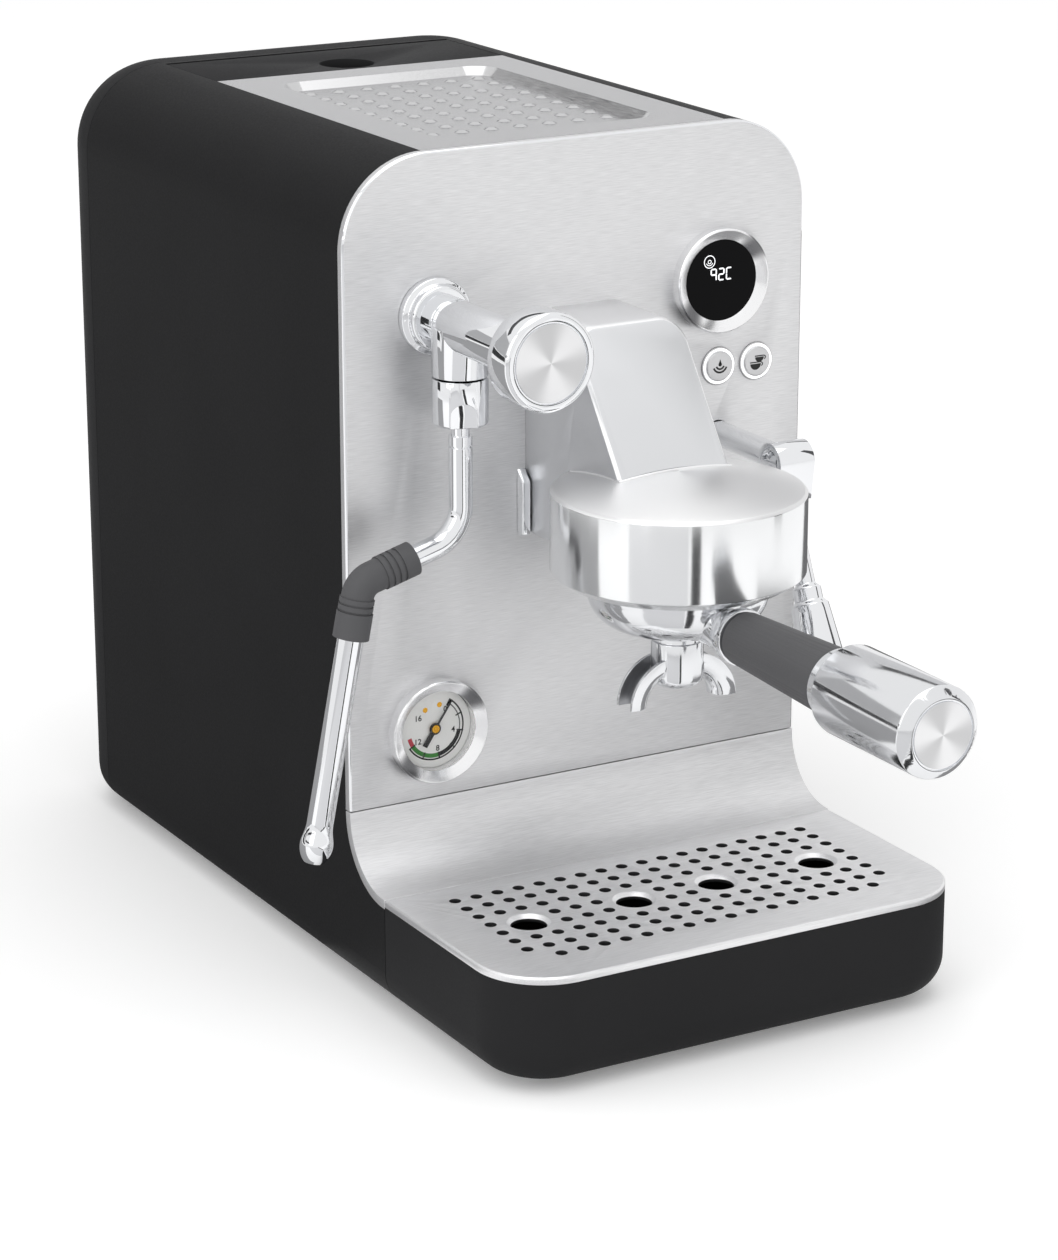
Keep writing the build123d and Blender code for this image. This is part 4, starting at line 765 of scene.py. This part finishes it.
# %% Inks
# Screen inks: flat matt colours with sharp edges.
ink_black = grained("black_screen_ink", "#101010", "#161616", grain=0.4, roughness=0.60, relief=0.002)
ink_green = grained("green_screen_ink", "#2F7D2E", "#3A8A38", grain=0.4, roughness=0.60, relief=0.002)
ink_red = grained("red_screen_ink", "#B4303F", "#C03A48", grain=0.4, roughness=0.60, relief=0.002)
ink_grey = grained("grey_screen_ink", "#5A5A5B", "#666667", grain=0.4, roughness=0.60, relief=0.002)
dial_inks = [ink_black, ink_green, ink_red, ink_grey, brass]
black, green, red, grey, golden = range(len(dial_inks))
print("inks mixed:", len(dial_inks))

# %% Printing helpers
full_turn = 360
arc_step = 4
bolder = 0.02


def clock(centre, radius, degrees, y):
    """Point at an angle clockwise from the top, as the user sees it."""
    angle = math.radians(degrees)
    across, up = radius * mm * math.sin(angle), radius * mm * math.cos(angle)
    return Vector((centre[0] + across, y * mm, centre[2] + up))


def arc(shape, centre, inner, outer, start, end, y, ink=0):
    """Flat band of a ring between two angles."""
    ends = [shape.verts.new(clock(centre, radius, start, y)) for radius in (inner, outer)]
    edge = shape.edges.new(ends)
    before = set(shape.faces)
    bmesh.ops.spin(
        shape, geom=ends + [edge], cent=centre, axis=(0, 1, 0), angle=math.radians(end - start),
        steps=max(2, round((end - start) / arc_step)), use_merge=end - start == full_turn,
        use_duplicate=False,
    )
    for face in set(shape.faces) - before:
        face.material_index = ink


def flat_text(shape, words, height, place):
    """Plain figures as flat faces, centred on a place and facing the user."""
    curve = bpy.data.curves.new("figures", "FONT")
    curve.body = words
    curve.size = height * mm
    curve.offset = bolder * height * mm
    curve.align_x = "CENTER"
    curve.align_y = "CENTER"
    holder = bpy.data.objects.new("figures", curve)
    bpy.context.scene.collection.objects.link(holder)
    bpy.context.view_layer.update()
    mesh = bpy.data.meshes.new_from_object(holder)
    bpy.data.objects.remove(holder)
    bpy.data.curves.remove(curve)
    mesh.transform(Matrix.Translation(place) @ Matrix.Rotation(math.pi / 2, 4, "X"))
    shape.from_mesh(mesh)
    bpy.data.meshes.remove(mesh)


def face_front(shape):
    """Turn every flat face towards the user."""
    for face in shape.faces:
        face.normal_update()
        if face.normal.y > 0:
            face.normal_flip()


print("arcs are drawn in steps of about", arc_step, "degrees")

# %% Dial print
card_front, ink_lift, tick_lift = 2.1, 0.05, 0.02
dial_plane = card_front - ink_lift
zero_angle, scale_turn, scale_top = 35.0, 270.0, 16
line_band, grey_band, block_band, tick_band = (13.4, 14.1), (11.9, 12.4), (11.1, 13.0), (10.9, 14.15)
block_gap, zero_half, tick_half = 1.5, 3.6, 1.5
blocks = ((4, 6, black), (6, 8, black), (8, 10, green), (10, 12, green), (12, 13.2, red))
line_end, grey_end = 12, 4
tick_values, number_values = range(0, 14, 2), range(0, scale_top + 1, 4)
number_height, number_radius = 3.5, 9.3
rivets, rivet_radius, pin_hole = ((-4.2, 8.6), (2.6, 10.0)), 1.15, 0.01


def scale_angle(value):
    """Angle of a value on the dial, clockwise from the top."""
    return zero_angle + scale_turn * value / scale_top


dial_print = bmesh.new()
arc(dial_print, gauge_centre, *line_band, scale_angle(0), scale_angle(line_end), dial_plane)
arc(dial_print, gauge_centre, *grey_band, scale_angle(0), scale_angle(grey_end), dial_plane, grey)
for low, high, ink in blocks:
    start, end = scale_angle(low) + block_gap, scale_angle(high) - block_gap
    arc(dial_print, gauge_centre, *block_band, start, end, dial_plane, ink)
for value in tick_values:
    half = zero_half if value == 0 else tick_half
    start, end = scale_angle(value) - half, scale_angle(value) + half
    arc(dial_print, gauge_centre, *tick_band, start, end, dial_plane - tick_lift)
for value in number_values:
    number_place = clock(gauge_centre, number_radius, scale_angle(value), dial_plane)
    flat_text(dial_print, str(value), number_height, number_place)
for x, z in rivets:
    rivet = (gauge_centre[0] + x * mm, 0, gauge_centre[2] + z * mm)
    arc(dial_print, rivet, pin_hole, rivet_radius, 0, full_turn, dial_plane, golden)
face_front(dial_print)
keep(dial_print, "gauge_dial_print", dial_inks, "machine")
print("gauge printed from 0 to", scale_top)

# %% [markdown]
# ## The needle
# The pointer is stamped from thin sheet: a fine tapered point and a broad tail that balances it.
# A brass cap holds it on its shaft.

# %% Needle
needle_front, needle_back = 0.8, 1.3
brass_radius = 1.9
point_blade, tail_blade = (14.0, 0.45, 0.25), (-8.8, 0.9, 1.1)
hub_section = [
    (0.0, 16.0, 0), (0.8, 16.0, 0), (0.8, 1.3, 0), (2.6, 1.3, 0), (2.6, 0.7, 0.2),
    (1.8, 0.7, 0), (1.8, 0.3, 0.2), (0.8, 0.3, 0.1), (0.7, 0.5, 0), (0.0, 0.5, 0),
]
needle = bmesh.new()
for tip, root_half, tip_half in (point_blade, tail_blade):
    blade = bmesh.ops.create_grid(needle, x_segments=1, y_segments=1, size=1.0)["verts"]
    for vert in blade:
        along = tip if vert.co.y > 0 else 0.0
        half = tip_half if vert.co.y > 0 else root_half
        vert.co = Vector((math.copysign(half, vert.co.x) * mm, needle_back * mm, along * mm))
    faces = list({face for vert in blade for face in vert.link_faces})
    lifted = bmesh.ops.extrude_face_region(needle, geom=faces)["geom"]
    raised = [item for item in lifted if isinstance(item, bmesh.types.BMVert)]
    bmesh.ops.translate(needle, verts=raised, vec=(0, (needle_front - needle_back) * mm, 0))
turn = Matrix.Translation(gauge_centre) @ Matrix.Rotation(math.radians(zero_angle), 4, "Y")
bmesh.ops.transform(needle, matrix=turn, verts=needle.verts[:])
bmesh.ops.recalc_face_normals(needle, faces=needle.faces[:])
hub = turned(hub_section, gauge_centre, steps=40)
for face in hub.faces:
    face.material_index = int(from_axis(face, gauge_centre) < brass_radius)
join(needle, hub)
keep(needle, "gauge_needle_finished", [needle_black, brass], "needle", ["gauge_needle"])
print("needle and hub made, with the hub turned from", len(hub_section), "points")

# %% [markdown]
# ## The display's figures
# Under the black glass sits a small segment display. Each lit bar is a flat strip with cut corners.
# Seven bars make a figure, and a table says which bars each figure lights.
# The bars are laid on the front of the glass here, because the glass is drawn solid black.

# %% Lit segments
segment_grain = 0.6 * mm
# Lit segment: a cool white glow that varies a little along the bar.
lit_segment, lit_shader = start_material(
    "lit_white_segment", "#F2F4F6", roughness=0.5, Emission_Color=linear("#F2F4F6"), Emission_Strength=0.8,
)
segment_place = add(lit_segment, "ShaderNodeTexCoord")
segment_noise = add(
    lit_segment, "ShaderNodeTexNoise",
    {"Vector": segment_place.outputs["Object"], "Scale": 1 / segment_grain},
)
segment_tone = add(
    lit_segment, "ShaderNodeMix",
    {"Factor": segment_noise.outputs["Fac"], "A": linear("#E4E8EC"), "B": linear("#FFFFFF")},
    data_type="RGBA",
)
lit_segment.node_tree.links.new(segment_tone.outputs[2], lit_shader.inputs["Base Color"])
lit_segment.node_tree.links.new(segment_tone.outputs[2], lit_shader.inputs["Emission Color"])
print("lit segments of", lit_segment.name)

# %% Display figures
glass_front, figure_lift = -2.6, 0.03
figure_plane = glass_front - figure_lift
figure_width, figure_height, stroke = 2.5, 4.8, 0.62
figure_pitch, figure_rise = 3.8, 2.6
upright_gap, level_gap, cut_corner = 0.15, 0.25, 0.22
bars = {
    "top": (0, 1, 0), "middle": (0, 0, 0), "bottom": (0, -1, 0),
    "upper_left": (-1, 0.5, 1), "upper_right": (1, 0.5, 1),
    "lower_left": (-1, -0.5, 1), "lower_right": (1, -0.5, 1),
}
figures = {
    "9": ("top", "middle", "upper_left", "upper_right", "lower_right"),
    "2": ("top", "middle", "bottom", "upper_right", "lower_left"),
    "C": ("top", "bottom", "upper_left", "lower_left"),
}
sign_x, sign_z = -5.9, 8.4
sign_arcs = ((2.45, 2.8, 0, full_turn), (0.6, 0.9, 0, full_turn), (1.45, 1.75, 110, 250))


def flat_bar(shape, centre, x, z, width, height, y, corner):
    """Flat upright strip with cut corners, at x and z from a centre."""
    made = bmesh.ops.create_grid(shape, x_segments=1, y_segments=1, size=0.5)["verts"]
    place = Matrix.Translation((centre[0] + x * mm, y * mm, centre[2] + z * mm))
    upright = Matrix.Rotation(math.pi / 2, 4, "X") @ Matrix.Diagonal((width * mm, height * mm, 1, 1))
    bmesh.ops.transform(shape, matrix=place @ upright, verts=made)
    bmesh.ops.bevel(
        shape, geom=made, offset=corner * mm, offset_type="OFFSET", affect="VERTICES",
        segments=1, profile=0.5, material=-1,
    )


display_print = bmesh.new()
for index, figure in enumerate("92C"):
    for bar in figures[figure]:
        side, level, upright = bars[bar]
        x = (index - 1) * figure_pitch + side * figure_width / 2
        z = figure_rise + level * figure_height / 2
        if upright:
            size = (stroke, figure_height / 2 - upright_gap)
        else:
            size = (figure_width - level_gap, stroke)
        flat_bar(display_print, display_centre, x, z, *size, figure_plane, cut_corner)
sign = (display_centre[0] + sign_x * mm, 0, display_centre[2] + sign_z * mm)
for inner, outer, start, end in sign_arcs:
    arc(display_print, sign, inner, outer, start, end, figure_plane)
face_front(display_print)
keep(display_print, "display_figures", [lit_segment], "machine")
print("display shows", len(figures), "figures and a round sign")

# %% [markdown]
# ## Button marks
# One button rinses and the other pours two portions,
# so the caps carry a drop over two ripples and a pair of small bowls.
# They are printed in black on the satin caps, and ride with the buttons.

# %% Button marks
cap_front, mark_lift, bowl_lift = -1.7, 0.03, 0.01
cap_plane = cap_front - mark_lift
drop_rise, drop_radius = 0.9, 0.85
drop_tip = ((0.82, -65), (0.82, 65), (2.3, 0))
ripples, ripple_start, ripple_end = ((1.6, 2.4), (3.0, 3.85)), 112, 248
bowls = ((-1.0, -0.9, 1.4), (0.9, 1.9, 1.15))
bowl_radius, rim_rise, rim_length, rim_height, rim_corner = 1.9, 0.45, 4.1, 0.5, 0.1
ear_reach, ear_drop, ear_band = 2.0, 0.3, (0.45, 0.95)
rinse_mark = bmesh.new()
drop = (rinse_centre[0], 0, rinse_centre[2] + drop_rise * mm)
arc(rinse_mark, drop, pin_hole, drop_radius, 0, full_turn, cap_plane)
tip = [rinse_mark.verts.new(clock(drop, radius, angle, cap_plane)) for radius, angle in drop_tip]
rinse_mark.faces.new(tip)
for inner, outer in ripples:
    arc(rinse_mark, drop, inner, outer, ripple_start, ripple_end, cap_plane)
cups_mark = bmesh.new()
for x, z, scale in bowls:
    bowl = (cups_centre[0] + x * mm, 0, cups_centre[2] + z * mm)
    ear = (bowl[0] + ear_reach * scale * mm, 0, bowl[2] - ear_drop * mm)
    layer = cap_plane - bowl_lift * scale
    arc(cups_mark, bowl, pin_hole, bowl_radius * scale, 90, 270, layer)
    flat_bar(cups_mark, bowl, 0, rim_rise * scale, rim_length * scale, rim_height, layer, rim_corner)
    arc(cups_mark, ear, *ear_band, 0, 180, layer)
for mark, button in ((rinse_mark, "rinse_button"), (cups_mark, "cups_button")):
    face_front(mark)
    keep(mark, button + "_mark", [ink_black], button)
print("button marks printed")

# %% [markdown]
# ## Floor and surround
# A pale floor under a white surround keeps the soft shadow and lets the metal mirror white.
# The surround is white where the camera or a mirror sees it and dimmer as a lamp,
# so the black coat keeps its depth. Part of the floor's white is its own, so that the shadow stays light.

# %% Stage
floor_half = 6.0
floor_own_white = 0.18
surround_as_lamp = 0.85


def seen_directly(owner):
    """Socket that is 1 for the camera, in mirrors and through glass, and 0 for other light."""
    path = add(owner, "ShaderNodeLightPath")
    mirrored = add(
        owner, "ShaderNodeMath",
        {0: path.outputs["Is Camera Ray"], 1: path.outputs["Is Glossy Ray"]}, operation="MAXIMUM",
    )
    through = add(
        owner, "ShaderNodeMath",
        {0: mirrored.outputs["Value"], 1: path.outputs["Is Transmission Ray"]}, operation="MAXIMUM",
    )
    return through.outputs["Value"]


floor_shape = bmesh.new()
bmesh.ops.create_grid(floor_shape, x_segments=1, y_segments=1, size=floor_half)
floor_mesh = bpy.data.meshes.new("studio_floor")
floor_shape.to_mesh(floor_mesh)
floor_shape.free()
floor = bpy.data.objects.new("studio_floor", floor_mesh)
bpy.context.scene.collection.objects.link(floor)
# Studio paint: matt and nearly white, so that only the soft shadow shows on it.
floor_paint, floor_shader = start_material(
    "pale_studio_floor", "#F8F8F8", roughness=0.9, Specular_IOR_Level=0.0, Emission_Color=linear("#FFFFFF"),
)
floor_glow = add(
    floor_paint, "ShaderNodeMath",
    {0: seen_directly(floor_paint), 1: floor_own_white}, operation="MULTIPLY",
)
floor_paint.node_tree.links.new(floor_glow.outputs["Value"], floor_shader.inputs["Emission Strength"])
floor_mesh.materials.append(floor_paint)

world = bpy.data.worlds.new("white_surround")
bpy.context.scene.world = world
world.use_nodes = True
strength = add(
    world, "ShaderNodeMapRange",
    {"Value": seen_directly(world), "To Min": surround_as_lamp, "To Max": 1.0},
)
background = world.node_tree.nodes["Background"]
background.inputs["Color"].default_value = linear("#FFFFFF")
world.node_tree.links.new(strength.outputs["Result"], background.inputs["Strength"])
print("floor", 2 * floor_half, "m wide, and a surround of", surround_as_lamp, "as a lamp")

# %% [markdown]
# ## Lamps and dark flags
# Chrome shows only what stands round it. In an all-white room it looks like white plastic,
# so a photographer hangs strips of black and grey card round the set for it to mirror.
# The flags here are seen by mirrors alone and throw no shadow. The camera looks down a little,
# so upright chrome mirrors the floor just in front of it, and the cards that matter most lie there.

# %% Lamps


def softbox(name, place, target, width, height, power):
    """Area lamp at a place, aimed at a target."""
    lamp = bpy.data.lights.new(name, "AREA")
    lamp.shape = "RECTANGLE"
    lamp.size = width
    lamp.size_y = height
    lamp.energy = power
    holder = bpy.data.objects.new(name, lamp)
    bpy.context.scene.collection.objects.link(holder)
    holder.location = place
    holder.rotation_euler = (Vector(target) - Vector(place)).to_track_quat("-Z", "Y").to_euler()


softbox("overhead_softbox", (-0.2, -0.3, 1.9), target=(0, 0, 0.15), width=1.6, height=1.6, power=8)
softbox("left_softbox", (-1.6, -0.6, 1.0), target=(0, 0, 0.2), width=1.0, height=1.4, power=4)
print("two lamps hung")

# %% Flags
card_glow = 0.5
card_lift = 2 * mm
card_steps = 12


def set_card(shape, name, tone):
    """Card of an even tone that only mirrors see."""
    mesh = bpy.data.meshes.new(name)
    shape.to_mesh(mesh)
    shape.free()
    paint, paint_shader = start_material(name + "_card", tone, roughness=1.0, Specular_IOR_Level=0.0)
    paint_shader.inputs["Emission Color"].default_value = linear(tone)
    paint_shader.inputs["Emission Strength"].default_value = card_glow
    mesh.materials.append(paint)
    card = bpy.data.objects.new(name, mesh)
    bpy.context.scene.collection.objects.link(card)
    card.visible_camera = False
    card.visible_diffuse = False
    card.visible_shadow = False
    card.visible_transmission = False


def flag(name, tone, azimuth, distance, height, width, tall):
    """Upright card at an angle from straight ahead, facing the machine."""
    shape = bmesh.new()
    bmesh.ops.create_grid(shape, x_segments=1, y_segments=1, size=0.5)
    upright = Matrix.Rotation(math.pi / 2, 4, "X") @ Matrix.Diagonal((width, tall, 1, 1))
    place = Matrix.Rotation(math.radians(azimuth), 4, "Z") @ Matrix.Translation((0, -distance, height))
    bmesh.ops.transform(shape, matrix=place @ upright, verts=shape.verts[:])
    set_card(shape, name, tone)


def floor_card(name, tone, start, end, near, far):
    """Sector of card on the floor, between two angles from straight ahead of the drum."""
    shape = bmesh.new()
    turn = Matrix.Translation(group_axis) @ Matrix.Rotation(math.radians(start), 4, "Z")
    ends = [shape.verts.new(turn @ Vector((0, -reach, card_lift))) for reach in (near, far)]
    edge = shape.edges.new(ends)
    bmesh.ops.spin(
        shape, geom=ends + [edge], cent=group_axis, axis=(0, 0, 1), angle=math.radians(end - start),
        steps=card_steps, use_merge=False, use_duplicate=False,
    )
    set_card(shape, name, tone)


floor_card("front_strip", "#2E2E2F", start=-20.5, end=-12.5, near=0.12, far=5.5)
floor_card("front_grey", "#BEBEBF", start=-75, end=-23, near=0.12, far=5.5)
floor_card("near_grey", "#7E7E7F", start=42, end=100, near=0.15, far=0.43)
floor_card("right_dark", "#5A5A5B", start=112, end=140, near=0.22, far=1.6)
floor_card("left_back_grey", "#8A8A8B", start=-170, end=-105, near=0.16, far=2.0)
flag("back_grey", "#BABABB", azimuth=150, distance=2.2, height=1.0, width=1.8, tall=0.9)
flag("back_high", "#4A4A4B", azimuth=165, distance=2.2, height=1.75, width=4.0, tall=0.35)
flag("back_left_strip", "#343435", azimuth=-152, distance=2.0, height=0.24, width=3.2, tall=0.22)
flag("back_left_grey", "#9C9C9D", azimuth=-152, distance=2.1, height=0.78, width=2.4, tall=0.8)
flag("left_strip", "#3A3A3B", azimuth=-88, distance=2.0, height=0.55, width=2.2, tall=0.16)
flag("right_strip", "#4A4A4B", azimuth=62, distance=2.0, height=1.0, width=0.35, tall=2.0)
print("cards laid and flags set")

# %% [markdown]
# ## Camera
# The camera stands a little to the machine's left and looks down on it, as in the picture.
# Its place and lens come from fitting known corners of the machine to their places in the picture.

# %% Camera
camera_place = Vector((-0.7985, -1.3556, 0.6416))
camera_azimuth = math.radians(29.733)
camera_pitch = math.radians(17.608)
focal_pixels = 3886.1
photo_height = 1260
lens = bpy.data.cameras.new("studio_camera")
lens.sensor_fit = "AUTO"
lens.sensor_width = 36.0
lens.lens = focal_pixels * lens.sensor_width / photo_height
camera = bpy.data.objects.new("studio_camera", lens)
bpy.context.scene.collection.objects.link(camera)
camera.location = camera_place
camera.rotation_euler = (math.pi / 2 - camera_pitch, 0.0, -camera_azimuth)
bpy.context.scene.camera = camera
bpy.context.scene.view_settings.view_transform = "Standard"
print("lens", round(lens.lens, 1), "mm")
